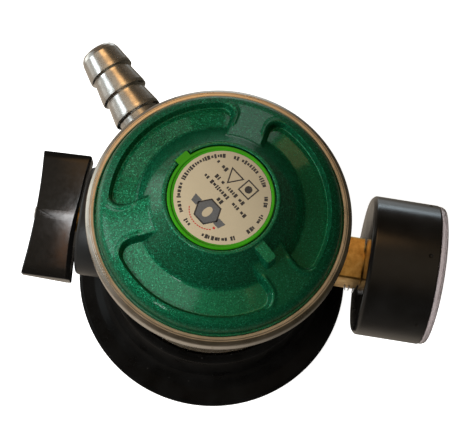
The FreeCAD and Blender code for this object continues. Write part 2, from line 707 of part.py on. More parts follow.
def make_valve_parts():
    """Lever that turns the stem's lift into the plunger's push, and the inlet valve it closes."""
    x = dim.lever_x
    z = dim.lever_z
    valve = dim.valve_z
    arm = block("lever_arm", (x, -2.6, z - 0.4), (3.4, 2.6, z + 0.4))
    hub = cylinder("lever_hub", 1.8, 5.2, (x, -2.6, z), ALONG_Y)
    leg = block("lever_leg", (x - 1.4, -1.6, valve - 0.9), (x - 0.4, 1.6, z))
    nose = cylinder("lever_nose", 0.9, 3.2, (x - 0.5, -1.6, valve), ALONG_Y)
    fork = block("fork_slot", (-1.75, -1.75, z - 2), (5.0, 1.75, z + 2))
    pivot = cylinder("lever_bore", 1.0 + dim.slip, 8.0, (x, -4.0, z), ALONG_Y)
    node("lever", cut("lever", fuse("lever_solid", arm, hub, leg, nose), fork, pivot))
    node("lever_pin", cylinder("lever_pin", 1.0, 11.2, (x, -5.6, z), ALONG_Y))

    radius = dim.plunger_radius
    rear = x + 0.45
    node("valve_plunger", turned("valve_plunger", [
        (rear, 0), (rear, radius - 0.2), (rear + 0.2, radius), (-7.6, radius), (-7.6, 1.2),
        (-8.6, 1.2), (-8.6, 0),
    ], "H_Axis", (0, 0, valve)))
    node("seat_pad", cylinder("seat_pad", 1.2, 1.2, (-8.6, 0, valve), ALONG_X))
    node("inlet_orifice", turned("inlet_orifice", [
        (-6.95, 0.5), (-6.95, 0.8), (-6.3, 1.5), (-6.0, 1.5), (-6.0, 1.8), (-1.6, 1.8), (-1.6, 0.5),
    ], "H_Axis", (0, 0, valve)))


# ------------------------------------------------------------------ excess flow valve


def make_flow_stop():
    """Poppet in the hose nozzle that closes on its seat when too much gas flows."""
    outlet = azimuth(dim.nozzle_azimuth)
    base = (0, 0, dim.nozzle_height)
    bore = dim.nozzle_bore
    head = turned("poppet_head", [
        (47.0, 0), (47.0, 2.2), (47.4, 2.7), (48.2, 2.7), (48.8, 2.1), (48.8, 0.8), (54.5, 0.8),
        (54.5, 0),
    ], "H_Axis", base, outlet)
    fins = []
    for index in range(3):
        fin = doc.addObject("Part::Box", f"poppet_fin_{index + 1}")
        fin.Length = 5.2
        fin.Width = 0.8
        bind(fin, "Height", bore - dim.slip)
        spin = FreeCAD.Rotation(Vector(1, 0, 0), 120 * index)
        corner = outlet.multiply(spin).multVec(Vector(42.05, -0.4, 0))
        fins.append(place(fin, (corner.x, corner.y, corner.z + dim.nozzle_height),
                          outlet.multiply(spin)))
    sleeve = cylinder("poppet_envelope", bore - dim.slip, 20.0,
                      (outlet.multVec(Vector(40, 0, 0)).x, outlet.multVec(Vector(40, 0, 0)).y,
                       dim.nozzle_height), outlet.multiply(ALONG_X))
    poppet = doc.addObject("Part::MultiCommon", "efv_poppet")
    poppet.Shapes = [fuse("poppet_solid", head, *fins), sleeve]
    poppet.Refine = True
    node("efv_poppet", poppet)
    node("efv_seat", turned("efv_seat", [
        (50.6, 2.0), (50.6, bore), (56.5, bore), (56.5, 1.0), (55.8, 1.0), (55.8, 2.0),
    ], "H_Axis", base, outlet))
    spring = coil_shape(1.45, 0.22, 48.85, 55.75, 6)
    node("efv_spring", shaped("efv_spring", spring, base, outlet.multiply(ALONG_X)))


# ------------------------------------------------------------------ gauge


def gear_points(teeth, module, first, last, shift):
    """Outline points of gear teeth numbered first to last; tooth 0 points along the shift angle."""
    pressure = math.radians(25)
    pitch = teeth * module / 2
    base = pitch * math.cos(pressure)
    tip = pitch + 0.75 * module
    root = pitch - 1.05 * module
    backlash = 0.05
    half = (math.pi * module / 2 - backlash) / (2 * pitch)
    rest = half + math.tan(pressure) - pressure
    flank = []
    steps = 4
    start = max(base, root)
    for index in range(steps + 1):
        reach = start + (tip - start) * index / steps
        roll = math.acos(min(1.0, base / reach))
        flank.append((reach, rest - (math.tan(roll) - roll)))
    if root < base:
        flank.insert(0, (root, flank[0][1]))
    points = []
    for tooth in range(first, last + 1):
        middle = shift + tooth * 2 * math.pi / teeth
        points += [(reach, middle - turn) for reach, turn in flank]
        points += [(reach, middle + turn) for reach, turn in reversed(flank)]
    return [(reach * math.cos(angle), reach * math.sin(angle)) for reach, angle in points]


def plate_shape(points, x, thickness):
    """Flat plate in the gauge's face plane from (y, z) points, standing at x."""
    corners = [Vector(x, y, z) for y, z in points]
    wire = Part.makePolygon(corners + [corners[0]])
    return Part.Face(wire).extrude(Vector(thickness, 0, 0))


def disc_shape(radius, x, thickness, y=0.0, z=0.0):
    return Part.makeCylinder(radius, thickness, Vector(x, y, z), Vector(1, 0, 0))


def make_gauge_case():
    """Socket, case, lens, dial and screws of the inlet pressure gauge."""
    axis = dim.axis_height
    half = dim.square_width / 2
    back = dim.case_back
    wall = dim.case_wall
    inside = back + wall
    shank = turned("socket_shank", [
        (dim.port_face - 10.0, 0), (dim.port_face - 10.0, 4.6), (dim.port_face - 9.6, 5.0),
        (dim.port_face + 1.0, 5.0), (dim.port_face + 1.0, 0),
    ], "H_Axis", (0, 0, axis))
    square = block("socket_square", (dim.port_face + 1.0, -half, axis - half),
                   (dim.square_end, half, axis + half))
    corners = cylinder("square_envelope", half * 1.36, 20.0, (dim.port_face, 0, axis), ALONG_X)
    trimmed = doc.addObject("Part::MultiCommon", "square_trimmed")
    trimmed.Shapes = [square, corners]
    neck = turned("socket_neck", [
        (dim.square_end, 0), (dim.square_end, half - 0.5), (dim.square_end + 0.3, half - 0.5),
        (dim.square_end + 0.3, half), (back, half), (back, 5.2), (inside, 5.2), (inside, 0),
    ], "H_Axis", (0, 0, axis))
    holder = block("tube_holder", (inside, -4.0, axis - 17.0), (inside + 4.8, 4.0, axis + 4.0))
    feed = cylinder("socket_bore", 1.0, 29.0, (dim.port_face - 11.0, 0, axis), ALONG_X)
    drop = cylinder("holder_bore", 1.0, 15.0, (inside + 2.0, 0, axis - 15.0))
    screw_holes = [cylinder(f"case_screw_hole_{i}", 0.9, 3.4, (inside - 0.6, 2.5 * (2 * i - 3), axis - 9.0),
                            ALONG_X) for i in (1, 2)]
    tube_slot = block("tube_slot", (inside + 2.2, -4.5, axis - 16.3), (inside + 5.5, 0.5, axis - 13.6))
    solids = fuse("socket_solid", shank, trimmed, neck, holder)
    node("gauge_socket", cut("gauge_socket", solids, feed, drop, tube_slot, *screw_holes))
    node("thread_tape", turned("thread_tape", [
        (dim.port_face + 0.05, 5.02), (dim.port_face + 0.05, 5.7), (dim.port_face + 0.5, 5.95),
        (dim.port_face + 0.95, 5.6), (dim.port_face + 0.95, 5.02),
    ], "H_Axis", (0, 0, axis)))

    radius = dim.case_radius
    front = dim.case_front
    case = turned("case_shell", [
        (back, 5.25), (back, radius - 1.1), (back + 0.3, radius - 0.45), (back + 1.0, radius),
        (front, radius), (front, radius - wall), (inside, radius - wall), (inside, 5.25),
    ], "H_Axis", (0, 0, axis))
    case_holes = [cylinder(f"case_hole_{i}", 0.95, 3.0, (back - 1.0, 2.5 * (2 * i - 3), axis - 9.0), ALONG_X)
                  for i in (1, 2)]
    node("gauge_case", cut("gauge_case", case, *case_holes))
    screws = []
    for i in (1, 2):
        y = 2.5 * (2 * i - 3)
        screws.append(turned(f"case_screw_{i}", [
            (back - 0.8, 0), (back - 0.8, 1.1), (back - 0.4, 1.6), (back, 1.6), (back, 0.9),
            (back + 3.6, 0.9), (back + 3.6, 0),
        ], "H_Axis", (0, y, axis - 9.0)))
    node("case_screws", group("case_screws", screws))

    lens = dim.lens_front
    node("gauge_lens", turned("gauge_lens", [
        (front - 2.2, radius - 2.3), (front - 2.2, radius - 1.1), (front + 0.05, radius - 1.1),
        (front + 0.05, radius - 0.2), (lens - 1.2, radius - 0.2), (lens - 0.5, radius - 0.5),
        (lens - 0.1, radius - 1.1), (lens, radius - 2.0), (lens, 0), (lens - 1.8, 0),
        (lens - 1.8, radius - 2.3),
    ], "H_Axis", (0, 0, axis)))
    node("gauge_dial", cut("gauge_dial",
                           cylinder("dial_blank", radius - 2.5, 0.5, (front - 2.9, 0, axis), ALONG_X),
                           cylinder("dial_hole", 1.6, 2.0, (front - 3.5, 0, axis), ALONG_X),
                           cylinder("dial_screw_hole_1", 0.7, 2.0, (front - 3.5, -4.5, axis - 5.0), ALONG_X),
                           cylinder("dial_screw_hole_2", 0.7, 2.0, (front - 3.5, 4.5, axis + 2.5), ALONG_X)))
    dial_screws = []
    for index, (y, z) in enumerate(((-4.5, -5.0), (4.5, 2.5))):
        head = cylinder(f"dial_head_{index + 1}", 1.1, 0.4, (front - 2.4, y, axis + z), ALONG_X)
        stem = cylinder(f"dial_stem_{index + 1}", 0.6, 2.0, (front - 4.4, y, axis + z), ALONG_X)
        dial_screws.append(fuse(f"dial_screw_{index + 1}", head, stem))
    node("dial_screws", group("dial_screws", dial_screws))


def make_gauge_movement():
    """Bourdon tube, its tip, the link, sector gear, pinion, needle, plates and hairspring."""
    base = (0, 0, dim.axis_height)
    inside = dim.case_back.value + dim.case_wall.value
    front = dim.case_front.value
    module = dim.gear_module.value
    reach = dim.tube_radius.value
    pinion_pitch = dim.pinion_teeth.value * module / 2
    sector_pitch = dim.sector_teeth.value * module / 2
    pivot = -(pinion_pitch + sector_pitch)
    gear_x = inside + 7.4

    # flattened tube bent round the gauge's axis, from the holder to the free tip
    sweep = 305.0
    start = math.radians(-91.5)
    tube_x = inside + 2.3
    corners = [Vector(tube_x + x, r * math.cos(start), r * math.sin(start))
               for x, r in ring_points(0, 3.0, reach - 0.9, reach + 0.9)]
    section = Part.Face(Part.makePolygon(corners + [corners[0]]))
    tube = section.revolve(Vector(0, 0, 0), Vector(1, 0, 0), -sweep)
    node("bourdon_tube", shaped("bourdon_tube", tube, base))

    # pivot places of the tail, link and tip at rest, in the gauge's face plane
    half_sweep = 135.0 / (dim.sector_teeth.value / dim.pinion_teeth.value)
    middle = dim.tail_middle.value
    tail_angle = math.radians(middle - half_sweep)
    arm = dim.tail_arm.value
    tail = (arm * math.cos(tail_angle), pivot + arm * math.sin(tail_angle))
    along = (-math.sin(math.radians(middle)), math.cos(math.radians(middle)))
    length = dim.link_length.value
    joint = (tail[0] + length * along[0], tail[1] + length * along[1])

    # brass tip: a block on the tube's end, with an arm and a pin that the link hangs on
    end = start - math.radians(sweep)
    outward = Vector(0, math.cos(end), math.sin(end))
    forward = Vector(0, math.sin(end), -math.cos(end))
    root = outward * reach + forward * 0.05
    tip_low = root - outward * 1.2
    tip_high = root + outward * 1.2
    boss = plate_shape([(p.y, p.z) for p in (tip_low, tip_high, tip_high + forward * 2,
                                             tip_low + forward * 2)], inside + 2.3, 4.0)
    joint_point = Vector(0, joint[0], joint[1])
    heading = (root + forward - joint_point).normalize()
    aside = Vector(0, -heading.z, heading.y) * 0.7
    bar = plate_shape([(p.y, p.z) for p in (joint_point - aside, joint_point + aside,
                                            root + forward + aside, root + forward - aside)],
                      inside + 5.3, 1.0)
    eye = disc_shape(1.0, inside + 5.3, 1.0, *joint)
    pin = disc_shape(0.35, inside + 5.3, 5.0, *joint)
    node("tube_tip", shaped("tube_tip", boss.fuse([bar, eye, pin]).removeSplitter(), base))

    # link: two eyes joined by a bar; the eye on the tip's pin is open enough for the tip's arc
    link_x = gear_x + 1.2
    link = disc_shape(1.0, link_x, 0.6, *tail)
    link = link.fuse(disc_shape(1.3, link_x, 0.6, *joint))
    link = link.fuse(plate_shape([
        (tail[0] - 0.5 * along[1], tail[1] + 0.5 * along[0]),
        (tail[0] + 0.5 * along[1], tail[1] - 0.5 * along[0]),
        (joint[0] + 0.5 * along[1], joint[1] - 0.5 * along[0]),
        (joint[0] - 0.5 * along[1], joint[1] + 0.5 * along[0])], link_x, 0.6))
    link = link.cut(disc_shape(0.45, link_x - 1, 3.0, *tail))
    link = link.cut(disc_shape(0.85, link_x - 1, 3.0, *joint))
    node("link", shaped("link", link.removeSplitter(), base))

    # sector gear: teeth, web, hub and arbor, and a tail with the link's pin
    teeth = gear_points(int(dim.sector_teeth.value), module, -7, 1, math.pi / 2)
    outline_points = [(0.0, 0.0)] + teeth
    sector = plate_shape([(y, pivot + z) for y, z in outline_points], gear_x, 0.8)
    sector = sector.fuse(disc_shape(1.5, gear_x, 0.8, 0, pivot))
    sector = sector.fuse(disc_shape(0.5, inside + 4.9, 6.6, 0, pivot))
    side = (0.8 * math.sin(tail_angle), -0.8 * math.cos(tail_angle))
    sector = sector.fuse(plate_shape([
        (side[0], pivot + side[1]), (-side[0], pivot - side[1]),
        (tail[0] - side[0], tail[1] - side[1]), (tail[0] + side[0], tail[1] + side[1])],
        gear_x, 0.8))
    sector = sector.fuse(disc_shape(1.0, gear_x, 0.8, *tail))
    sector = sector.fuse(disc_shape(0.4, gear_x, 2.0, *tail))
    node("sector_gear", shaped("sector_gear", sector.removeSplitter(), base))

    # pinion on the needle's arbor, with a gap facing the sector's middle tooth
    gap = -math.pi / 2 + math.pi / dim.pinion_teeth.value
    wheel = gear_points(int(dim.pinion_teeth.value), module, 0, int(dim.pinion_teeth.value) - 1, gap)
    pinion = plate_shape(wheel, gear_x - 0.2, 1.2)
    pinion = pinion.fuse(disc_shape(0.5, inside + 4.9, front - 0.9 - inside - 4.9, 0, 0))
    node("pinion", shaped("pinion", pinion.removeSplitter(), base))

    needle_x = front - 1.6
    zero = math.radians(225)
    tip = (13.2 * math.cos(zero), 13.2 * math.sin(zero))
    butt = (-4.5 * math.cos(zero), -4.5 * math.sin(zero))
    wide = (-0.9 * math.sin(zero), 0.9 * math.cos(zero))
    thin = (wide[0] * 0.3, wide[1] * 0.3)
    needle = plate_shape([
        (tip[0] + thin[0], tip[1] + thin[1]), (tip[0] - thin[0], tip[1] - thin[1]),
        (-wide[0], -wide[1]), (butt[0] - wide[0], butt[1] - wide[1]),
        (butt[0] + wide[0], butt[1] + wide[1]), (wide[0], wide[1])], needle_x, 0.4)
    needle = needle.fuse(disc_shape(1.9, needle_x, 0.9, 0, 0))
    needle = needle.cut(disc_shape(0.5, needle_x - 1, 5.0, 0, 0))
    node("gauge_needle", shaped("gauge_needle", needle.removeSplitter(), base))

    # two movement plates joined by pillars, with bearing holes for both arbors
    rear_x = inside + 4.8
    face_x = inside + 10.9
    outline_points = [(-6.2, -12.6), (2.2, -12.6), (6.2, -5.0), (6.2, 4.6), (-6.2, 4.6)]
    plates = plate_shape(outline_points, rear_x, 0.8)
    plates = plates.fuse(plate_shape(outline_points, face_x, 0.8))
    for y, z in ((-5.2, -11.6), (-5.2, 3.6), (5.2, 3.6)):
        plates = plates.fuse(disc_shape(0.8, rear_x, face_x - rear_x + 0.8, y, z))
    for y, z in ((-4.5, -5.0), (4.5, 2.5)):
        plates = plates.fuse(disc_shape(1.2, face_x, front - 2.9 - face_x, y, z))
        plates = plates.cut(disc_shape(0.6, front - 4.4, 3.0, y, z))
    for z in (0.0, pivot):
        plates = plates.cut(disc_shape(0.5 + dim.slip.value, rear_x - 1, 12.0, 0, z))
    node("movement_plates", shaped("movement_plates", plates.removeSplitter(), base))

    # flat spiral spring round the needle's arbor
    points = []
    turns = 3.0
    steps = 60
    for index in range(steps + 1):
        share = index / steps
        angle = 2 * math.pi * turns * share
        radius = 0.75 + 2.2 * share
        points.append(Vector(inside + 9.6, radius * math.cos(angle), radius * math.sin(angle)))
    path = Part.BSplineCurve()
    path.interpolate(points)
    ribbon = Part.makePolygon([
        points[0] + Vector(-0.3, -0.06, 0), points[0] + Vector(0.3, -0.06, 0),
        points[0] + Vector(0.3, 0.06, 0), points[0] + Vector(-0.3, 0.06, 0),
        points[0] + Vector(-0.3, -0.06, 0)])
    coil = Part.Wire(path.toShape()).makePipeShell([ribbon], True, False)
    node("hairspring", shaped("hairspring", coil, base))


# ------------------------------------------------------------------ build, check and write

make_top_cover()
make_cover_parts()
make_diaphragm_stack()
make_crimp_ring()
make_regulator_body()
make_knob_parts()
make_pin_parts()
make_coupling()
make_valve_parts()
make_flow_stop()
make_gauge_case()
make_gauge_movement()
doc.recompute()

faults = [item.Name for item in doc.Objects if {"Invalid", "Error"} & set(item.State)]
for name, part in nodes.items():
    if part.Shape.isNull() or not part.Shape.isValid() or not part.Shape.Solids:
        faults.append(name)
if faults:
    raise RuntimeError("failed objects: " + ", ".join(faults))

os.makedirs("parts", exist_ok=True)
for name, part in nodes.items():
    part.Shape.exportStep(os.path.join("parts", name + ".step"))
    solids = part.Shape.Solids
    print(f"{name:18s} solids {len(solids)}  volume {sum(s.Volume for s in solids):10.2f}")
print(len(nodes), "nodes")
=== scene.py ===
import json
import math
import random

import bmesh
import bpy
import numpy as np
from mathutils import Matrix, Vector


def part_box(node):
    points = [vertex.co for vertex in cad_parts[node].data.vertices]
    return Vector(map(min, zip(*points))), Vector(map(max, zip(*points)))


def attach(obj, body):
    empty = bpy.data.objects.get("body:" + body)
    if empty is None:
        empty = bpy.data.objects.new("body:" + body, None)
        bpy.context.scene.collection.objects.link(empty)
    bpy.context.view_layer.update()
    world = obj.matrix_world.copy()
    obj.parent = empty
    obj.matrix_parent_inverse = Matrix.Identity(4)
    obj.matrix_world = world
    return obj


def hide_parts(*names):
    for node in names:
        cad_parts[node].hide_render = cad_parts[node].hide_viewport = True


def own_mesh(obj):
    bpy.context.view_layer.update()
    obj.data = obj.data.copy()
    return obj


# Clip-on gas regulator: finished surfaces, materials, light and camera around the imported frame.
# Shapes are written in millimetres in the row frame and scaled to metres when they become meshes.

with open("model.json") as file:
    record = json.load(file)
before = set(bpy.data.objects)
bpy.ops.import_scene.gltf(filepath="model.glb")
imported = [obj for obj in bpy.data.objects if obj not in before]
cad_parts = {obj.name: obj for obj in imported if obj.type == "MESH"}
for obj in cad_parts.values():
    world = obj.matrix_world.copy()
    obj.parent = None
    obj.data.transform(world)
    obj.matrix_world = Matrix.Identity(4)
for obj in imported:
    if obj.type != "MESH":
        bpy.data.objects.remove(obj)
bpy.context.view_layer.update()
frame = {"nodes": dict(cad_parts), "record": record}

MM = 0.001
UP = Matrix.Identity(3)
ALONG_X = Matrix(((0, 0, 1), (0, 1, 0), (-1, 0, 0)))


def box_mm(node):
    """Lowest and highest corner of a CAD node, in millimetres."""
    low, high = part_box(node)
    return low / MM, high / MM


# --- sizes read from the frame

cover_high = box_mm("top_cover")[1]
ring_low, ring_high = box_mm("crimp_ring")
plug_high = box_mm("cover_plug")[1]
label_low, label_high = box_mm("rating_label")
collar_low, collar_high = box_mm("locking_collar")
case_low, case_high = box_mm("gauge_case")
lens_high = box_mm("gauge_lens")[1]
dial_low, dial_high = box_mm("gauge_dial")
bonnet_low, bonnet_high = box_mm("spindle_bonnet")
knob_low = box_mm("knob")[0]

BOSS_TOP = cover_high.z
RING_RADIUS = ring_high.x
RING_TOP = ring_high.z
RING_BOTTOM = ring_low.z
AXIS_HEIGHT = (case_low.z + case_high.z) / 2
CASE_RADIUS = (case_high.z - case_low.z) / 2
COLLAR_RADIUS = collar_high.x
COLLAR_TOP = collar_high.z
BONNET_RADIUS = (bonnet_high.z - bonnet_low.z) / 2
NOZZLE_AZIMUTH = math.radians(130.8)
NOZZLE_HEIGHT = 44.0


# --- mesh helpers


def mesh_from(name, points, faces):
    """Mesh from points in millimetres."""
    mesh = bpy.data.meshes.new(name)
    mesh.from_pydata((np.asarray(points, float) * MM).tolist(), [], faces)
    return mesh


def weld(mesh, reach):
    """Joins points closer than reach metres and turns every face outward."""
    work = bmesh.new()
    work.from_mesh(mesh)
    bmesh.ops.remove_doubles(work, verts=work.verts, dist=reach)
    bmesh.ops.recalc_face_normals(work, faces=work.faces)
    work.to_mesh(mesh)
    work.free()


def bare_copy(node, name):
    """Copy of a CAD node's mesh without its stored shading."""
    mesh = frame["nodes"][node].data.copy()
    mesh.name = name
    for layer in [a for a in mesh.attributes if a.name in ("custom_normal", "sharp_edge", "sharp_face")]:
        mesh.attributes.remove(layer)
    return mesh


def add_piece(name, points, faces, slot, replaces=None, body="housing", sharp=38.0, material=None):
    """Closed mesh from points in millimetres, riding on a body."""
    piece = bpy.data.objects.new(name, mesh_from(name, points, faces))
    return finish_piece(piece, slot, replaces, body, sharp, material)


def finish_piece(piece, slot, replaces=None, body="housing", sharp=38.0, material=None):
    """Welds a new object's mesh, shades it, gives it its material and puts it on its body."""
    mesh = piece.data
    weld(mesh, 2e-6)
    mesh.shade_smooth()
    mesh.set_sharp_from_angle(angle=math.radians(sharp))
    mesh.materials.clear()
    mesh.materials.append(material or MATERIALS[slot])
    if piece.name not in bpy.context.scene.collection.objects:
        bpy.context.scene.collection.objects.link(piece)
    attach(piece, body)
    if replaces:
        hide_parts(replaces)
    return piece


def rounded(corners, steps=5):
    """Closed outline from (u, v, radius) corners, each corner turned into an arc."""
    result = []
    count = len(corners)
    for index, (u, v, radius) in enumerate(corners):
        here = Vector((u, v))
        back = Vector(corners[index - 1][:2]) - here
        ahead = Vector(corners[(index + 1) % count][:2]) - here
        half = back.angle(ahead) / 2
        if radius == 0 or half > math.radians(89):
            result.append((u, v))
            continue
        reach = min(radius / math.tan(half), 0.48 * back.length, 0.48 * ahead.length)
        true_radius = reach * math.tan(half)
        centre = here + (back.normalized() + ahead.normalized()).normalized() * true_radius / math.sin(half)
        start = here + back.normalized() * reach - centre
        end = here + ahead.normalized() * reach - centre
        turn = start.angle_signed(end, 0.0)
        for step in range(steps + 1):
            share = step / steps
            spoke = Matrix.Rotation(-turn * share, 2) @ start
            result.append(tuple(centre + spoke))
    return result


def revolve(outline, segments=256, base=(0, 0, 0), turn=UP):
    """Points and faces of a closed outline of (radius, height) turned about its axis."""
    outline = np.asarray(outline, float)
    count = len(outline)
    angles = np.linspace(0, 2 * math.pi, segments, endpoint=False)
    points = np.zeros((segments, count, 3))
    points[:, :, 0] = np.outer(np.cos(angles), outline[:, 0])
    points[:, :, 1] = np.outer(np.sin(angles), outline[:, 0])
    points[:, :, 2] = outline[:, 1]
    points = points.reshape(-1, 3) @ np.array(turn).T + np.array(base)
    return points, ring_faces(segments, count)


def ring_faces(copies, count, closed=True):
    """Quads between neighbouring copies of an outline, in a ring or as a run with a cap at each end."""
    faces = []
    for j in range(copies if closed else copies - 1):
        here = j * count
        there = ((j + 1) % copies) * count
        for i in range(count):
            k = (i + 1) % count
            faces.append((here + i, there + i, there + k, here + k))
    if not closed:
        faces.append(tuple(range(count)))
        faces.append(tuple(range((copies - 1) * count, copies * count)))
    return faces


def turned(name, corners, slot, steps=5, segments=256, base=(0, 0, 0), turn=UP, **more):
    """Piece turned about an axis from an outline with rounded corners."""
    points, faces = revolve(rounded(corners, steps), segments, base, turn)
    return add_piece(name, points, faces, slot, **more)


def prism(outline, low, high):
    """Points and faces of a flat closed outline raised between two heights."""
    count = len(outline)
    points = [(u, v, low) for u, v in outline] + [(u, v, high) for u, v in outline]
    faces = [tuple(range(count)), tuple(range(count, 2 * count))]
    for i in range(count):
        k = (i + 1) % count
        faces.append((i, k, count + k, count + i))
    return points, faces


def joined(shapes):
    """One point and face list from several."""
    points, faces = [], []
    for more_points, more_faces in shapes:
        start = len(points)
        points.extend(tuple(p) for p in more_points)
        faces.extend(tuple(start + i for i in face) for face in more_faces)
    return points, faces


def broken_edges(node, name, slot, width):
    """Copy of a CAD node with its sharp edges broken, which then stands for the node."""
    mesh = bare_copy(node, name)
    work = bmesh.new()
    work.from_mesh(mesh)
    bmesh.ops.remove_doubles(work, verts=work.verts, dist=2e-6)
    bmesh.ops.dissolve_limit(work, angle_limit=math.radians(1.0), verts=work.verts, edges=work.edges)
    sharp = [e for e in work.edges if e.is_manifold and e.calc_face_angle(0.0) > math.radians(32)]
    bmesh.ops.bevel(work, geom=sharp, offset=width * MM, offset_type="OFFSET", segments=2,
                    profile=0.5, affect="EDGES", clamp_overlap=True, loop_slide=True)
    work.to_mesh(mesh)
    work.free()
    finish_piece(bpy.data.objects.new(name, mesh), slot, node, sharp=40.0)


# --- material helpers


class Nodes:
    """Builds a node tree; a value may be a number, a colour or another node's output."""

    def __init__(self, tree):
        self.tree = tree

    def add(self, kind, values=None, **settings):
        item = self.tree.nodes.new(kind)
        for key, value in settings.items():
            setattr(item, key, value)
        for key, value in (values or {}).items():
            self.plug(item.inputs[key], value)
        return item

    def plug(self, socket, value):
        if isinstance(value, bpy.types.NodeSocket):
            self.tree.links.new(value, socket)
        else:
            socket.default_value = value

    def ramp(self, value, stops):
        item = self.add("ShaderNodeValToRGB", {"Fac": value})
        marks = item.color_ramp.elements
        while len(marks) < len(stops):
            marks.new(0.5)
        for mark, (position, shade) in zip(marks, stops):
            mark.position = position
            mark.color = (*shade, 1) if isinstance(shade, tuple) else (shade, shade, shade, 1)
        return item.outputs["Color"]

    def mix(self, share, first, second):
        item = self.add("ShaderNodeMix", data_type="RGBA")
        self.plug(item.inputs["Factor"], share)
        for key, value in (("A", first), ("B", second)):
            socket = next(s for s in item.inputs if s.name == key and s.type == "RGBA")
            self.plug(socket, (*value, 1) if isinstance(value, tuple) else value)
        return next(s for s in item.outputs if s.type == "RGBA")

    def math(self, operation, first, second):
        return self.add("ShaderNodeMath", {0: first, 1: second}, operation=operation).outputs["Value"]

    def vector(self, operation, values):
        return self.add("ShaderNodeVectorMath", values, operation=operation).outputs["Vector"]


class Paint(Nodes):
    """Node material in object coordinates; feature sizes are in millimetres."""

    def __init__(self, name):
        self.material = bpy.data.materials.new(name)
        self.material.use_nodes = True
        super().__init__(self.material.node_tree)
        self.shader = self.tree.nodes["Principled BSDF"]
        self.place = self.add("ShaderNodeTexCoord").outputs["Object"]

    def set(self, **inputs):
        for key, value in inputs.items():
            self.plug(self.shader.inputs[key.replace("_", " ")], value)

    def noise(self, size, detail=3.0, stretch=None, rough=0.5):
        place = self.place
        if stretch:
            place = self.add("ShaderNodeMapping", {"Vector": place, "Scale": stretch}).outputs["Vector"]
        return self.add("ShaderNodeTexNoise", {
            "Vector": place, "Scale": 1 / (size * MM), "Detail": detail, "Roughness": rough,
        }).outputs["Fac"]

    def cells(self, size):
        return self.add("ShaderNodeTexVoronoi", {"Vector": self.place, "Scale": 1 / (size * MM)})

    def bump(self, height, depth, under=None):
        """Normal from a height texture whose full swing is depth millimetres."""
        item = self.add("ShaderNodeBump", {"Height": height, "Distance": depth * MM, "Strength": 1.0})
        if under is not None:
            self.plug(item.inputs["Normal"], under)
        return item.outputs["Normal"]


def metal(name, colour, roughness, grain=0.6, grain_depth=0.004, tint=0.12):
    """Bare metal with grain, slow colour drift and uneven polish."""
    paint = Paint(name)
    drift = paint.noise(6.0, 4.0)
    fine = paint.noise(grain, 4.0)
    darker = tuple(c * (1 - tint) for c in colour)
    lighter = tuple(min(1.0, c * (1 + tint)) for c in colour)
    base = paint.ramp(drift, [(0.35, darker), (0.65, lighter)])
    rough = paint.ramp(fine, [(0.3, roughness * 0.75), (0.7, min(1.0, roughness * 1.3))])
    paint.set(Base_Color=base, Metallic=1.0, Roughness=rough, Normal=paint.bump(fine, grain_depth))
    return paint.material


def plastic(name, colour, roughness, grain=0.5, grain_depth=0.006, specular=0.5, dust=0.0):
    """Moulded plastic: fine surface grain, slight gloss changes and a little dust."""
    paint = Paint(name)
    fine = paint.noise(grain, 3.0)
    slow = paint.noise(7.0, 3.0)
    lighter = tuple(min(1.0, c * 1.35 + 0.002) for c in colour)
    base = paint.ramp(slow, [(0.3, colour), (0.75, lighter)])
    if dust:
        specks = paint.cells(2.4).outputs["Distance"]
        speck_mask = paint.ramp(specks, [(0.0, 1.0), (0.05, 0.0)])
        share = paint.math("MULTIPLY", speck_mask, dust)
        base = paint.mix(share, base, (0.35, 0.33, 0.30))
    rough = paint.ramp(slow, [(0.3, roughness * 0.85), (0.7, min(1.0, roughness * 1.2))])
    paint.set(Base_Color=base, Roughness=rough, Normal=paint.bump(fine, grain_depth),
              Specular_IOR_Level=specular)
    return paint.material


def green_paint():
    """Metallic green lacquer: bright flakes under a clear coat with slight orange peel."""
    paint = Paint("green_metallic_lacquer")
    flake = paint.cells(0.22)
    shade = paint.add("ShaderNodeSeparateColor", {"Color": flake.outputs["Color"]})
    body = paint.ramp(shade.outputs["Red"], [(0.0, (0.002, 0.058, 0.022)), (0.55, (0.005, 0.150, 0.064)),
                                             (0.90, (0.010, 0.235, 0.110)), (0.985, (0.05, 0.44, 0.25))])
    cloud = paint.noise(9.0, 3.0)
    colour = paint.mix(paint.math("MULTIPLY", cloud, 0.3), body, (0.004, 0.11, 0.05))
    tilt = paint.vector("SUBTRACT", {0: flake.outputs["Color"], 1: (0.5, 0.5, 0.5)})
    tilt = paint.vector("SCALE", {0: tilt, "Scale": 0.38})
    upright = paint.add("ShaderNodeNewGeometry").outputs["Normal"]
    facing = paint.vector("NORMALIZE", {0: paint.vector("ADD", {0: upright, 1: tilt})})
    peel = paint.bump(paint.noise(1.1, 2.0), 0.008)
    paint.set(Base_Color=colour, Metallic=0.85, Roughness=0.47, Normal=facing,
              Coat_Weight=0.55, Coat_Roughness=0.10, Coat_IOR=1.5, Coat_Normal=peel, Specular_IOR_Level=0.0)
    return paint.material


def zinc_skin():
    """Die-cast zinc of the body and nozzle: bright, faintly mottled, with flow marks."""
    paint = Paint("zinc_casting_skin")
    flow = paint.noise(2.6, 5.0, rough=0.6)
    cast = paint.noise(0.55, 3.0)
    base = paint.ramp(flow, [(0.35, (0.60, 0.59, 0.57)), (0.62, (0.82, 0.81, 0.79))])
    rough = paint.ramp(flow, [(0.35, 0.30), (0.65, 0.17)])
    wide = paint.bump(paint.noise(3.5, 2.0), 0.05)
    paint.set(Base_Color=base, Metallic=1.0, Roughness=rough, Normal=paint.bump(cast, 0.006, wide))
    return paint.material


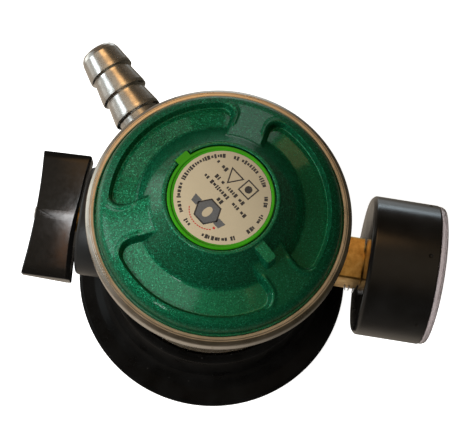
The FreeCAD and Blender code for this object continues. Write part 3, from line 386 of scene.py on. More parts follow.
def ring_skin():
    """Rolled steel of the crimp ring: fine turning lines, small pits and scuffs."""
    paint = Paint("rolled_ring_steel")
    lines = paint.noise(0.5, 4.0)
    pits = paint.ramp(paint.cells(1.7).outputs["Distance"], [(0.0, 0.0), (0.10, 1.0)])
    slow = paint.noise(5.0, 4.0)
    base = paint.ramp(slow, [(0.35, (0.50, 0.47, 0.42)), (0.65, (0.66, 0.63, 0.58))])
    base = paint.mix(pits, (0.30, 0.25, 0.19), base)
    height = paint.math("ADD", paint.math("MULTIPLY", lines, 0.25), pits)
    paint.set(Base_Color=base, Metallic=1.0, Roughness=paint.ramp(slow, [(0.3, 0.24), (0.7, 0.36)]),
              Normal=paint.bump(height, 0.02))
    return paint.material


def knob_skin():
    """Glossy black phenolic of the wing knob with soft mould waves and light scuffs."""
    paint = Paint("knob_black_gloss")
    waves = paint.noise(2.5, 2.0)
    scuff = paint.noise(0.35, 4.0)
    rough = paint.ramp(paint.noise(1.6, 4.0), [(0.35, 0.13), (0.7, 0.19)])
    normal = paint.bump(scuff, 0.0025, paint.bump(waves, 0.012))
    base = paint.ramp(scuff, [(0.3, (0.0025, 0.0025, 0.0025)), (0.8, (0.006, 0.0055, 0.005))])
    paint.set(Base_Color=base, Roughness=rough, Normal=normal, Specular_IOR_Level=0.30)
    return paint.material


def brass_skin():
    """Machined brass with milling lines and a mottled tarnish."""
    paint = Paint("machined_brass")
    mottle = paint.noise(2.4, 5.0, rough=0.65)
    milled = paint.noise(0.35, 3.0, (1.0, 0.06, 1.0))
    base = paint.ramp(mottle, [(0.32, (0.62, 0.36, 0.10)), (0.55, (0.86, 0.56, 0.19)),
                               (0.75, (0.98, 0.72, 0.30))])
    rough = paint.ramp(mottle, [(0.3, 0.42), (0.7, 0.28)])
    paint.set(Base_Color=base, Metallic=1.0, Roughness=rough, Normal=paint.bump(milled, 0.008))
    return paint.material


def label_skin():
    """Printed paper label under a clear film: warm beige with a faint fibre grain."""
    paint = Paint("label_beige_film")
    fibre = paint.noise(0.35, 4.0)
    slow = paint.noise(5.0, 2.0)
    base = paint.mix(slow, (0.430, 0.350, 0.230), (0.475, 0.388, 0.262))
    base = paint.mix(paint.math("MULTIPLY", fibre, 0.22), base, (0.37, 0.29, 0.18))
    paint.set(Base_Color=base, Roughness=0.55, Normal=paint.bump(fibre, 0.004))
    return paint.material


def lens_skin():
    """Clear moulded lens, faintly warm, with uneven haze."""
    paint = Paint("clear_gauge_lens")
    haze = paint.noise(3.0, 3.0)
    paint.set(Base_Color=(0.50, 0.43, 0.43, 1), Roughness=paint.ramp(haze, [(0.3, 0.08), (0.7, 0.16)]),
              Transmission_Weight=0.80, IOR=1.49)
    return paint.material


def dial_skin():
    """White dial enamel with a faint grain."""
    paint = Paint("dial_white_enamel")
    grain = paint.noise(0.8, 3.0)
    base = paint.ramp(grain, [(0.3, (0.78, 0.78, 0.76)), (0.7, (0.88, 0.88, 0.86))])
    paint.set(Base_Color=base, Roughness=0.5, Normal=paint.bump(grain, 0.002))
    return paint.material


def ink(name, colour):
    """Printing ink with a faint grain."""
    paint = Paint(name)
    grain = paint.noise(0.4, 3.0)
    lighter = tuple(min(1.0, c + 0.03) for c in colour)
    paint.set(Base_Color=paint.ramp(grain, [(0.3, colour), (0.8, lighter)]), Roughness=0.5)
    return paint.material


MATERIALS = {
    "green_paint": green_paint(),
    "green_plug": plastic("plug_green_gloss", (0.020, 0.185, 0.002), 0.35, 0.8, 0.003),
    "label_film": label_skin(),
    "ring_steel": ring_skin(),
    "zinc_casting": zinc_skin(),
    "bonnet_plastic": plastic("bonnet_black_grained", (0.006, 0.006, 0.006), 0.40, 0.45, 0.03, 0.5),
    "knob_plastic": knob_skin(),
    "collar_plastic": plastic("collar_black_satin", (0.0016, 0.0015, 0.0014), 0.30, 0.6, 0.006, 0.08, 0.35),
    "brass": brass_skin(),
    "sintered_bronze": metal("sintered_bronze", (0.50, 0.34, 0.18), 0.55, 0.3, 0.05),
    "steel": metal("bright_steel", (0.60, 0.60, 0.62), 0.28),
    "ball_steel": metal("polished_ball_steel", (0.75, 0.75, 0.77), 0.08, 1.5, 0.001, 0.04),
    "spring_steel": metal("drawn_spring_steel", (0.45, 0.45, 0.47), 0.35),
    "seal_rubber": plastic("seal_rubber", (0.020, 0.020, 0.020), 0.72, 0.4, 0.02),
    "gauge_black": plastic("gauge_black_enamel", (0.0025, 0.0024, 0.0023), 0.22, 0.7, 0.006, 0.5),
    "lens_clear": lens_skin(),
    "dial_white": dial_skin(),
    "needle_black": plastic("needle_black_enamel", (0.012, 0.012, 0.012), 0.4),
    "ptfe": plastic("thread_tape_white", (0.82, 0.82, 0.80), 0.6, 0.5, 0.05),
}
INK_BLACK = ink("ink_black", (0.018, 0.016, 0.015))
INK_GREY = ink("ink_grey", (0.085, 0.085, 0.085))
INK_RED = ink("ink_red", (0.42, 0.03, 0.02))

SLOTS = {item["node"]: item["material_slot"] for item in frame["record"]["subparts"]}


def dress_cad_nodes():
    """Every CAD node takes the procedural material of its slot in the record."""
    for node, slot in SLOTS.items():
        mesh = frame["nodes"][node].data
        mesh.materials.clear()
        mesh.materials.append(MATERIALS[slot])


def shortened(node, way):
    """Copy of a CAD spring on a mesh of its own, standing for the spring; the way is not used."""
    piece = bpy.data.objects.new(node + "_moving", frame["nodes"][node].data.copy())
    finish_piece(piece, SLOTS[node], node, sharp=40.0)
    way = Vector(way).normalized()
    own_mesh(piece)


def make_springs():
    """Copies that stand for the springs, each on a mesh of its own."""
    shortened("main_spring", (0, 0, 1))
    shortened("collar_spring", (0, 0, 1))
    shortened("pin_spring", (0, 0, -1))
    shortened("efv_spring", (-0.653421, 0.756995, 0.0))


# --- cover

PLUG_AZIMUTH = math.radians(142.1)
KEY_AZIMUTH = math.radians(317.1)
SPOKES = [math.radians(79.6 + 120 * i) for i in range(3)]
CONE_TOP = (15.6, BOSS_TOP - 1.1)
CONE_FOOT = (21.6, RING_TOP + 5.6)
FLOOR_OUTER = (27.9, RING_TOP + 3.3)
RAMP_TOP_RADIUS = 18.0
SHOULDER_RADIUS = 29.0
RIM_RADIUS = 31.95


def line_through(first, second):
    slope = (second[1] - first[1]) / (second[0] - first[0])
    return lambda r: first[1] + (r - first[0]) * slope


cone_height = line_through(CONE_TOP, CONE_FOOT)
floor_height = line_through(CONE_FOOT, FLOOR_OUTER)
ramp_height = line_through((RAMP_TOP_RADIUS, cone_height(RAMP_TOP_RADIUS)), (SHOULDER_RADIUS, RING_TOP + 5.0))


def smooth_step(x):
    x = np.clip(x, 0, 1)
    return x * x * x * (x * (6 * x - 15) + 10)


def smooth_max(a, b, width):
    overlap = np.clip(0.5 + 0.5 * (a - b) / width, 0, 1)
    return b + (a - b) * overlap + width * overlap * (1 - overlap)


def pocket_distance(radius, angle):
    """Distance outward from the middle of the pocket walls, negative inside a pocket."""
    half_spoke = 4.95
    wall_radius = 28.45
    corner = 4.3
    spoke_depth = np.full_like(radius, -50.0)
    for spoke in SPOKES:
        offset = angle - spoke
        depth = half_spoke - np.abs(radius * np.sin(offset))
        depth = np.where(np.cos(offset) > 0, depth, -50.0)
        spoke_depth = np.maximum(spoke_depth, depth)
    first = radius - wall_radius + corner
    second = spoke_depth + corner
    outside = np.hypot(np.maximum(first, 0), np.maximum(second, 0))
    return outside + np.minimum(np.maximum(first, second), 0) - corner


def bar_share(radius, angle, azimuth, inner, outer, half_width, edge):
    """1 on a radial bar's top and 0 off it; the outer end is rounded off."""
    along = radius * np.cos(angle - azimuth)
    across = radius * np.sin(angle - azimuth)
    corner = 0.5 * half_width
    first = np.maximum(inner - along, along - outer) + corner
    second = np.abs(across) - half_width + corner
    outside = np.hypot(np.maximum(first, 0), np.maximum(second, 0))
    distance = outside + np.minimum(np.maximum(first, second), 0) - corner
    return 1 - smooth_step(distance / edge + 0.5)


def with_key(height, radius, angle):
    """Heights with the key rib beside the boss added."""
    key = bar_share(radius, angle, KEY_AZIMUTH, 13.0, 20.6, 1.55, 0.4)
    return np.maximum(height, height + (BOSS_TOP - 0.45 - height) * key)


def cover_height(radius, angle):
    """Height of the painted surface between the boss and the shoulder."""
    cone = cone_height(radius)
    outside = smooth_max(cone, ramp_height(radius), 0.5)
    inside = smooth_max(cone, floor_height(radius), 0.7)
    distance = pocket_distance(radius, angle)
    height = inside + (outside - inside) * smooth_step(distance / 1.15 + 0.5)
    bead = 0.30 * np.exp(-((distance - 0.95) / 0.55) ** 2)
    height = height + bead * smooth_step((radius - 20.6) / 2.4)
    return with_key(height, radius, angle)


def make_cover():
    """Painted cover as a fine polar grid; the inside is a plain shell."""
    segments = 1080
    start = Vector((SHOULDER_RADIUS, ramp_height(SHOULDER_RADIUS)))
    handle = Vector((SHOULDER_RADIUS + 2.3, ramp_height(SHOULDER_RADIUS + 2.3)))
    second = Vector((RIM_RADIUS, RING_TOP + 2.9))
    end = Vector((RIM_RADIUS, RING_TOP + 0.4))
    shoulder = []
    for step in range(1, 15):
        t = step / 14
        point = ((1 - t) ** 3 * start + 3 * (1 - t) ** 2 * t * handle
                 + 3 * (1 - t) * t * t * second + t ** 3 * end)
        shoulder.append((point.x, point.y))
    lip = rounded([(13.9, BOSS_TOP - 1.4, 0), (13.9, BOSS_TOP, 0.18), (14.85, BOSS_TOP, 0.7),
                   (CONE_TOP[0], CONE_TOP[1], 0)], 4)[:-1]
    under = [(RIM_RADIUS, RING_TOP - 0.9), (33.1, RING_TOP - 1.0), (33.1, RING_TOP - 2.3),
             (28.5, RING_TOP - 2.3), (28.5, RING_TOP - 0.8), (26.0, RING_TOP + 1.6),
             (20.0, RING_TOP + 3.5), (12.2, RING_TOP + 5.0), (12.2, BOSS_TOP - 1.4)]
    stations = list(np.arange(CONE_TOP[0], SHOULDER_RADIUS + 0.01, 0.14))
    outline = lip + [(r, 0.0) for r in stations] + shoulder + under
    first = len(lip)
    last = first + len(stations)
    angles = np.linspace(0, 2 * math.pi, segments, endpoint=False)
    profile = np.array(outline)
    points, faces = revolve(outline, segments)
    grid = points.reshape(segments, len(outline), 3)
    radius, angle = np.meshgrid(np.array(stations), angles)
    grid[:, first:last, 2] = cover_height(radius, angle)
    top = slice(0, last)
    radius, angle = np.meshgrid(profile[top, 0], angles)
    notch = bar_share(radius, angle, PLUG_AZIMUTH, 10.0, 15.5, 2.25, 0.12)
    height = grid[:, top, 2]
    lip_zone = radius > 14.4
    height = np.where(lip_zone, with_key(height, radius, angle), height)
    grid[:, top, 2] = height - np.maximum(height - (BOSS_TOP - 1.05), 0) * notch
    add_piece("cover_shell", grid.reshape(-1, 3), faces, "green_paint", "top_cover", sharp=50)


def make_cover_mark():
    """Raised mould date clock on a pocket floor: a ring, ticks and a pointer."""
    azimuth = math.radians(140.1)
    radius = 25.1
    slope = math.atan2(FLOOR_OUTER[1] - CONE_FOOT[1], FLOOR_OUTER[0] - CONE_FOOT[0])
    centre = Vector((radius * math.cos(azimuth), radius * math.sin(azimuth), floor_height(radius)))
    turn = Matrix.Rotation(azimuth, 3, "Z") @ Matrix.Rotation(-slope, 3, "Y")
    shapes = []
    for ring in (2.35, 1.45):
        outline = rounded([(ring - 0.17, -0.2, 0), (ring + 0.17, -0.2, 0), (ring + 0.12, 0.13, 0.06),
                           (ring - 0.12, 0.13, 0.06)], 2)
        shapes.append(revolve(outline, 72))
    for index in range(12):
        spoke = Matrix.Rotation(math.radians(30 * index), 2)
        corners = [spoke @ Vector(p) for p in ((1.7, -0.09), (2.1, -0.09), (2.1, 0.09), (1.7, 0.09))]
        shapes.append(prism([tuple(c) for c in corners], -0.15, 0.10))
    shapes.append(prism([(-0.9, -0.14), (0.35, -0.14), (0.35, -0.45), (1.1, 0.0), (0.35, 0.45),
                         (0.35, 0.14), (-0.9, 0.14)], -0.15, 0.14))
    points, faces = joined(shapes)
    points = [tuple(turn @ Vector(p) + centre) for p in points]
    add_piece("cover_date_clock", points, faces, "green_paint")


def make_plug():
    """Green plug in the boss with its key tab, a raised rim and the label's seat."""
    top = plug_high.z
    rim = 13.6
    seat = label_low.z
    corners = [(0, seat, 0), (12.72, seat, 0.05), (12.78, top - 0.04, 0.05), (12.95, top, 0.08),
               (rim - 0.22, top, 0.12), (rim, top - 0.25, 0.1), (rim, top - 1.5, 0.1), (12.0, top - 1.5, 0),
               (12.0, top - 3.1, 0.2), (10.6, top - 3.1, 0.2), (10.6, top - 1.5, 0), (0, top - 1.5, 0)]
    disc = revolve(rounded(corners, 3), 240)
    outline = rounded([(12.9, -1.9, 0), (14.95, -1.9, 0.25), (14.95, 1.9, 0.25), (12.9, 1.9, 0)], 3)
    turn = Matrix.Rotation(PLUG_AZIMUTH, 2)
    outline = [tuple(turn @ Vector(p)) for p in outline]
    points, faces = joined([disc, prism(outline, top - 0.95, top - 0.02)])
    add_piece("boss_plug", points, faces, "green_plug", "cover_plug", sharp=35)


# --- label and its print

LABEL_CENTRE = ((label_low.x + label_high.x) / 2, (label_low.y + label_high.y) / 2)
LABEL_RADIUS = (label_high.x - label_low.x) / 2
PRINT_HEIGHT = 0.012


def label_point(along, across):
    """Point on the label from coordinates along and across its rows of print."""
    turn = Matrix.Rotation(math.radians(141.0), 2)
    spot = turn @ Vector((along, across))
    return spot.x + LABEL_CENTRE[0], spot.y + LABEL_CENTRE[1]


def flat_print(name, outlines, material, lift=0.0):
    """Print laid on the label as thin raised shapes."""
    low = label_high.z - 0.01 + lift
    points, faces = joined([prism(o, low, label_high.z + PRINT_HEIGHT + lift) for o in outlines])
    add_piece(name, points, faces, "label_film", material=material)


def dash_run(draw, length, widths, shares):
    """Uneven dashes along a length: the place, the width and the share of full height of each."""
    spot = 0.0
    while spot < length:
        width = draw.choice(widths)
        share = draw.choice(shares)
        if draw.random() > 0.12:
            yield spot, width, share
        spot += width + 0.24


def dashes_in_row(draw, start, end, across, height):
    """Row of uneven dashes that stands in for a line of print."""
    outlines = []
    for spot, width, share in dash_run(draw, end - start, (0.40, 0.55, 0.75), (0.62, 1.0, 0.8)):
        half = height * share / 2
        left = start + spot
        corners = [(left, across - half), (left + width, across - half), (left + width, across + half),
                   (left, across + half)]
        outlines.append([label_point(u, v) for u, v in corners])
    return outlines


def dashes_on_arc(draw, first, last, radius, height):
    """Dashes along the label's edge between two angles in degrees."""
    outlines = []
    length = math.radians(first - last) * radius
    for spot, width, share in dash_run(draw, length, (0.40, 0.55, 0.72), (0.6, 1.0, 0.8)):
        angle = math.radians(first) - spot / radius
        out = Vector((math.cos(angle), math.sin(angle)))
        along = Vector((out.y, -out.x))
        middle = out * radius + Vector(LABEL_CENTRE)
        outlines.append([tuple(middle + along * (width * u) + out * (height * share * v))
                         for u, v in ((-0.5, -0.5), (0.5, -0.5), (0.5, 0.5), (-0.5, 0.5))])
    return outlines


def frame_outline(sides, centre, outer, inner, spin):
    """Hollow regular polygon as a chain of quads."""
    corners = [polygon(sides, centre, radius, spin) for radius in (outer, inner)]
    return [[corners[0][i], corners[0][(i + 1) % sides], corners[1][(i + 1) % sides], corners[1][i]]
            for i in range(sides)]


def polygon(sides, centre, radius, spin):
    """Corners of a regular polygon on the label."""
    return [label_point(centre[0] + radius * math.cos(spin + 2 * math.pi * i / sides),
                        centre[1] + radius * math.sin(spin + 2 * math.pi * i / sides))
            for i in range(sides)]


def flame_outline(centre, size):
    """Plain drop-shaped flame, point upwards across the rows."""
    points = []
    for step in range(40):
        angle = 2 * math.pi * step / 40
        reach = 0.62 + 0.38 * (0.5 + 0.5 * math.cos(angle)) ** 4 * 1.6
        points.append(label_point(centre[0] + size * 0.8 * reach * math.sin(angle),
                                  centre[1] + size * reach * math.cos(angle) - 0.25 * size))
    return points


def make_label():
    """Beige label disc with stand-in print: dashes, two plain symbols and a flame badge."""
    top = label_high.z
    turned("label_disc", [(0, label_low.z, 0), (LABEL_RADIUS, label_low.z, 0), (LABEL_RADIUS, top, 0.04),
                          (0, top, 0)], "label_film", 2, 240, (*LABEL_CENTRE, 0), replaces="rating_label")
    draw = random.Random(7)
    outlines = []
    for first, last in ((229, 96), (82, 23), (9, -50), (-66, -111)):
        outlines += dashes_on_arc(draw, first, last, 10.95, 1.1)
    for start, end, across, height in ((-7.6, -5.9, -0.8, 1.1), (-5.0, -2.6, -0.8, 1.1),
                                       (-1.2, 7.9, -0.8, 1.1), (-4.9, 5.0, -2.7, 1.1),
                                       (-1.9, 0.8, 1.1, 1.2), (4.4, 7.4, -5.6, 1.2)):
        outlines += dashes_in_row(draw, start, end, across, height)
    outlines += frame_outline(4, (-2.9, -6.2), 2.75, 2.25, math.radians(45))
    outlines += frame_outline(3, (2.0, -5.9), 2.7, 2.0, math.radians(90))
    outlines.append(polygon(16, (-2.9, -6.2), 1.0, 0.0))
    badge = (-0.3, 5.3)
    outlines += frame_outline(6, badge, 3.6, 3.15, 0.0)
    flat_print("label_print_black", outlines, INK_BLACK)
    wings = [[label_point(badge[0] + side * u, badge[1] + v)
              for u, v in ((3.2, -1.0), (5.5, -1.0), (5.0, 1.0), (3.2, 1.0))] for side in (-1, 1)]
    flat_print("label_badge_grey", [polygon(6, badge, 3.16, 0.0)] + wings, INK_GREY)
    flat_print("label_badge_flame", [flame_outline(badge, 1.7)], MATERIALS["label_film"], 0.012)
    red = []
    arc_centre, arc_radius = (-0.3, 4.3), 5.2
    for step in range(14):
        angles = [math.radians(40 + 7.2 * (step + s)) for s in (0, 0.72)]
        red.append([label_point(arc_centre[0] + r * math.cos(a), arc_centre[1] + r * math.sin(a))
                    for r, a in ((arc_radius, angles[0]), (arc_radius, angles[1]),
                                 (arc_radius + 0.28, angles[1]), (arc_radius + 0.28, angles[0]))])
    red.append(polygon(16, (-4.5, 7.0), 0.34, 0.0))
    flat_print("label_print_red", red, INK_RED)


# --- crimp ring


def make_ring():
    """Crimp ring: flat lip over the cover, a step and a rounded outer shoulder."""
    top = RING_TOP
    out = RING_RADIUS
    low = RING_BOTTOM
    turned("crimp_band", [
        (32.5, top - 0.95, 0.1), (32.5, top - 0.12, 0.2), (32.8, top, 0.3), (33.5, top - 0.02, 0.15),
        (33.62, top - 0.22, 0.1), (33.9, top - 0.22, 0.25), (out, top - 1.3, 1.3), (out, low + 0.5, 0.5),
        (out - 0.5, low, 0.4), (31.6, low, 0.1), (31.6, low + 0.55, 0.1), (out - 1.0, low + 0.55, 0),
        (out - 1.0, top - 3.3, 0), (33.2, top - 3.3, 0), (33.2, top - 0.95, 0),
    ], "ring_steel", 5, 360, replaces="crimp_ring", sharp=60)


# --- body casting and nozzle


def make_casting():
    """Body casting: the CAD solid without its hose tail, remeshed so that its edges round off."""
    outlet = Vector((math.cos(NOZZLE_AZIMUTH), math.sin(NOZZLE_AZIMUTH), 0))
    mesh = bare_copy("regulator_body", "body_casting")
    work = bmesh.new()
    work.from_mesh(mesh)
    bmesh.ops.remove_doubles(work, verts=work.verts, dist=2e-6)
    geometry = work.verts[:] + work.edges[:] + work.faces[:]
    cut_at = 31.0 * MM
    # the hose tail lies beyond the cut and below the flange's underside
    bmesh.ops.bisect_plane(work, geom=geometry, plane_co=(0, 0, (NOZZLE_HEIGHT + 9.5) * MM),
                           plane_no=(0, 0, 1))
    geometry = work.verts[:] + work.edges[:] + work.faces[:]
    bmesh.ops.bisect_plane(work, geom=geometry, plane_co=outlet * cut_at, plane_no=outlet)
    tail = [v for v in work.verts
            if v.co.dot(outlet) > cut_at + 1e-7 and v.co.z < (NOZZLE_HEIGHT + 9.4) * MM]
    bmesh.ops.delete(work, geom=tail, context="VERTS")
    bmesh.ops.holes_fill(work, edges=[e for e in work.edges if e.is_boundary], sides=0)
    work.to_mesh(mesh)
    work.free()
    piece = bpy.data.objects.new("body_casting", mesh)
    bpy.context.scene.collection.objects.link(piece)
    remesh = piece.modifiers.new("remesh", "REMESH")
    remesh.mode = "VOXEL"
    remesh.voxel_size = 0.42 * MM
    smooth = piece.modifiers.new("smooth", "SMOOTH")
    smooth.factor = 0.5
    smooth.iterations = 4
    graph = bpy.context.evaluated_depsgraph_get()
    smoothed = bpy.data.meshes.new_from_object(piece.evaluated_get(graph))
    piece.modifiers.clear()
    piece.data = smoothed
    finish_piece(piece, "zinc_casting", "regulator_body", sharp=70)


def make_nozzle():
    """Hose tail with three barbs, a land behind each crest and a chamfered mouth."""
    tip = 64.6
    bore = 3.6
    crests = (42.1, 49.45, 56.8)
    radii = (7.05, 6.9, 6.6)
    corners = [(2.85, 28.0, 0), (6.7, 28.0, 0), (6.6, 31.0, 0.5), (6.3, 35.0, 2.0)]
    roots = (5.95, 5.85, 5.75, 5.6)
    for index, (crest, radius) in enumerate(zip(crests, radii)):
        corners += [(roots[index], crest - 0.32, 0.25), (radius, crest, 0.16),
                    (radius - 0.04, crest + 1.0, 0.9), (roots[index + 1] + 0.22, crest + 5.9, 1.2)]
    corners += [(roots[3] - 0.1, tip - 0.9, 0.6), (roots[3] - 0.75, tip, 0.5), (bore + 0.25, tip, 0.2),
                (bore, tip - 0.4, 0.1), (bore, 42.0, 0), (2.85, 42.0, 0)]
    turn = Matrix.Rotation(NOZZLE_AZIMUTH, 3, "Z") @ ALONG_X
    turned("hose_tail", corners, "zinc_casting", 5, 220, (0, 0, NOZZLE_HEIGHT), turn, sharp=45)


# --- knob and bonnet


KNOB_TILT = Matrix.Rotation(math.radians(4.5), 3, "X")
KNOB_HALF = 17.8
KNOB_OUTER = knob_low.x
KNOB_INNER = -38.1


def knob_section(y, inset):
    """Rounded outline of the wing across the spindle at one distance y, as (x, z) points."""
    share = min(1.0, abs(y) / KNOB_HALF)
    hollow = 1 - share * share
    outer_x = KNOB_OUTER + 1.2 * hollow + inset
    inner_x = KNOB_INNER - 0.9 * hollow - inset
    tip = max(0.0, (abs(y) - KNOB_HALF + 2.6) / 2.6) ** 2
    fall = share ** 1.5
    inner_half = 5.6 - 1.5 * fall - 0.35 * tip - inset
    outer_half = 4.2 - 1.9 * fall - 0.7 * tip - inset
    slope = (inner_half - outer_half) / (inner_x - outer_x)
    strip = 0.45 + 0.75 * float(smooth_step(np.array(0.5 - y / KNOB_HALF)))
    corners = [(outer_x, -outer_half, 0.6), (inner_x - strip, -inner_half + strip * slope, 0.25),
               (inner_x, -inner_half + strip * 0.75, 0.3), (inner_x, inner_half - strip * 0.75, 0.3),
               (inner_x - strip, inner_half - strip * slope, 0.25), (outer_x, outer_half, 0.6)]
    return rounded(corners, 5)


def make_knob():
    """Wing knob lofted along its length with rounded ends, a screw recess and two scratches."""
    edge = 0.4
    front = []
    for step in range(6):
        angle = math.radians(18 * step)
        front.append((-KNOB_HALF + edge * (1 - math.cos(angle)), edge * (1 - math.sin(angle))))
    middle = [(y, 0.0) for y in np.linspace(-KNOB_HALF + edge, KNOB_HALF - edge, 91)][1:-1]
    back = [(-y, inset) for y, inset in reversed(front)]
    stations = front + middle + back
    loops = [knob_section(y, inset) for y, inset in stations]
    points = []
    for (y, inset), loop in zip(stations, loops):
        points += [tuple(KNOB_TILT @ Vector((x, y, z)) + Vector((0, 0, AXIS_HEIGHT))) for x, z in loop]
    faces = ring_faces(len(loops), len(loops[0]), closed=False)
    knob = add_piece("wing_knob", points, faces, "knob_plastic", "knob", "knob", 50)
    cut_away(knob, knob_tools())


def knob_tools():
    """Screw recess in the outer face, spindle bore and two fine scratches on top."""
    outer = knob_low.x
    shapes = [revolve([(0, -3.0), (3.0, -3.0), (3.0, 2.4), (1.6, 2.4), (1.6, 5.0), (3.5, 5.0),
                       (3.5, 16.0), (0, 16.0)], 96, (outer, 0, AXIS_HEIGHT), ALONG_X)]
    turn = Matrix.Rotation(math.radians(-23), 3, "Z") @ Matrix.Rotation(math.radians(-5.6), 3, "Y")
    for start_y, length in ((0.6, 6.6), (-0.1, 5.4)):
        points, faces = prism([(-0.6, -0.15), (length, -0.06), (length, 0.06), (-0.6, 0.15)], 0.0, 3.0)
        start = Vector((outer + 0.9, start_y, AXIS_HEIGHT + 3.75))
        shapes.append(([tuple(turn @ Vector(p) + start) for p in points], faces))
    return shapes


def cut_away(piece, shapes):
    """Cuts closed shapes out of a piece, one after another, and drops the tools."""
    for points, faces in shapes:
        tool = bpy.data.objects.new("tool", mesh_from("tool", points, faces))
        weld(tool.data, 1e-6)
        bpy.context.scene.collection.objects.link(tool)
        cut = piece.modifiers.new("cut", "BOOLEAN")
        cut.operation = "DIFFERENCE"
        cut.solver = "EXACT"
        cut.object = tool
        graph = bpy.context.evaluated_depsgraph_get()
        result = bpy.data.meshes.new_from_object(piece.evaluated_get(graph))
        piece.modifiers.clear()
        piece.data = result
        bpy.data.objects.remove(tool)
    piece.data.set_sharp_from_angle(angle=math.radians(45))


def make_bonnet():
    """Bonnet over the spindle: rounded outer edge, a shallow ring groove and screw pockets."""
    low = bonnet_low.x
    radius = BONNET_RADIUS
    piece = turned("bonnet_shell", [
        (3.6, 0, 0.1), (radius, 0, 1.0), (radius, 6.2, 0), (radius - 0.02, 6.3, 0), (radius, 13.5, 0.15),
        (9.25, 13.5, 0.1), (9.25, 11.3, 0), (3.6, 11.3, 0.1),
    ], "bonnet_plastic", 5, 240, (low, 0, AXIS_HEIGHT), ALONG_X, replaces="spindle_bonnet", sharp=50)
    circle = 11.0
    shapes = []
    for index in range(3):
        angle = math.radians(90 + 120 * index)
        base = (low, circle * math.cos(angle), AXIS_HEIGHT + circle * math.sin(angle))
        shapes.append(revolve([(0, -1.0), (2.9, -1.0), (2.9, 3.6), (1.6, 3.6), (1.6, 15.0), (0, 15.0)],
                              64, base, ALONG_X))
    cut_away(piece, shapes)


# --- locking collar


def make_collar():
    """Wide locking collar: thin rounded brim, swept shoulder and near upright neck."""
    rim = COLLAR_RADIUS
    top = COLLAR_TOP
    low = collar_low.z
    corners = [
        (rim - 3.2, low, 0.4), (rim - 0.55, low, 0.6), (rim, low + 0.7, 0.6), (rim, low + 2.1, 0.8),
        (rim - 0.9, low + 3.0, 0.9), (rim - 4.6, low + 4.1, 3.0), (33.7, low + 5.5, 3.0),
        (32.5, low + 7.6, 3.0), (31.75, low + 13.0, 0), (31.2, top - 0.9, 0.8), (30.6, top, 0.7),
        (28.8, top, 0.3), (28.8, 10.0, 0.2), (21.68, 10.0, 0.1), (21.68, 8.8, 0.1),
        (21.77, 8.8, 0), (24.4, 2.2, 0.1), (23.5, 2.2, 0), (23.5, 1.15, 0.1), (25.6, 1.15, 0.1),
        (25.6, 2.8, 0.3), (rim - 4.0, 2.8, 0.3), (rim - 3.2, 1.8, 0.3),
    ]
    turned("collar_shell", corners, "collar_plastic", 7, 420, body="collar", replaces="locking_collar",
           sharp=60)


# --- gauge


def make_gauge():
    """Gauge case with a rolled back edge, crimp dimples and two screw holes, and its lens."""
    back = case_low.x
    front = case_high.x
    radius = CASE_RADIUS
    wall = 1.0
    length = front - back
    corners = [(5.25, 0, 0), (radius - 1.0, 0, 1.2), (radius, 1.0, 1.0), (radius, length - 0.35, 0.1),
               (radius - 0.12, length, 0.12), (radius - wall, length, 0.1), (radius - wall, wall, 0.2),
               (5.25, wall, 0)]
    case = turned("gauge_shell", corners, "gauge_black", 6, 288, (back, 0, AXIS_HEIGHT), ALONG_X,
                  replaces="gauge_case", sharp=40)
    shapes = []
    for index in range(6):
        angle = math.radians(30 + 60 * index)
        shapes.append(ball_shape(0.62, (front - 2.6, *dial_point(radius + 0.25, angle))))
    for y in (-2.5, 2.5):
        shapes.append(revolve([(0, -1.0), (0.95, -1.0), (0.95, 3.0), (0, 3.0)], 32,
                              (back, y, AXIS_HEIGHT - 9.0), ALONG_X))
    cut_away(case, shapes)

    depth = lens_high.x - front
    lens = [(radius - 2.3, -2.2, 0), (radius - 1.1, -2.2, 0), (radius - 1.1, 0.05, 0),
            (radius - 0.15, 0.05, 0.15), (radius - 0.2, depth - 1.2, 0.5), (radius - 0.6, depth - 0.35, 0.6),
            (radius - 2.0, depth, 0.8), (0, depth, 0), (0, depth - 1.8, 0), (radius - 2.3, depth - 1.8, 0.2)]
    turned("gauge_window", lens, "lens_clear", 5, 240, (front, 0, AXIS_HEIGHT), ALONG_X,
           replaces="gauge_lens", sharp=50)


def ball_shape(radius, centre):
    """Points and faces of a ball."""
    outline = [(radius * math.sin(math.pi * i / 12), -radius * math.cos(math.pi * i / 12)) for i in range(13)]
    return revolve(outline, 20, centre)


def dial_point(radius, angle):
    """Sideways and upward place of a point at a radius and angle about the gauge's axis."""
    return radius * math.cos(angle), AXIS_HEIGHT + radius * math.sin(angle)


def dial_mark(name, shapes, material):
    """Print on the dial from flat shapes, stood up to face along X."""
    points, faces = joined(shapes)
    add_piece(name, [(x, y, z) for y, z, x in points], faces, "needle_black", material=material)


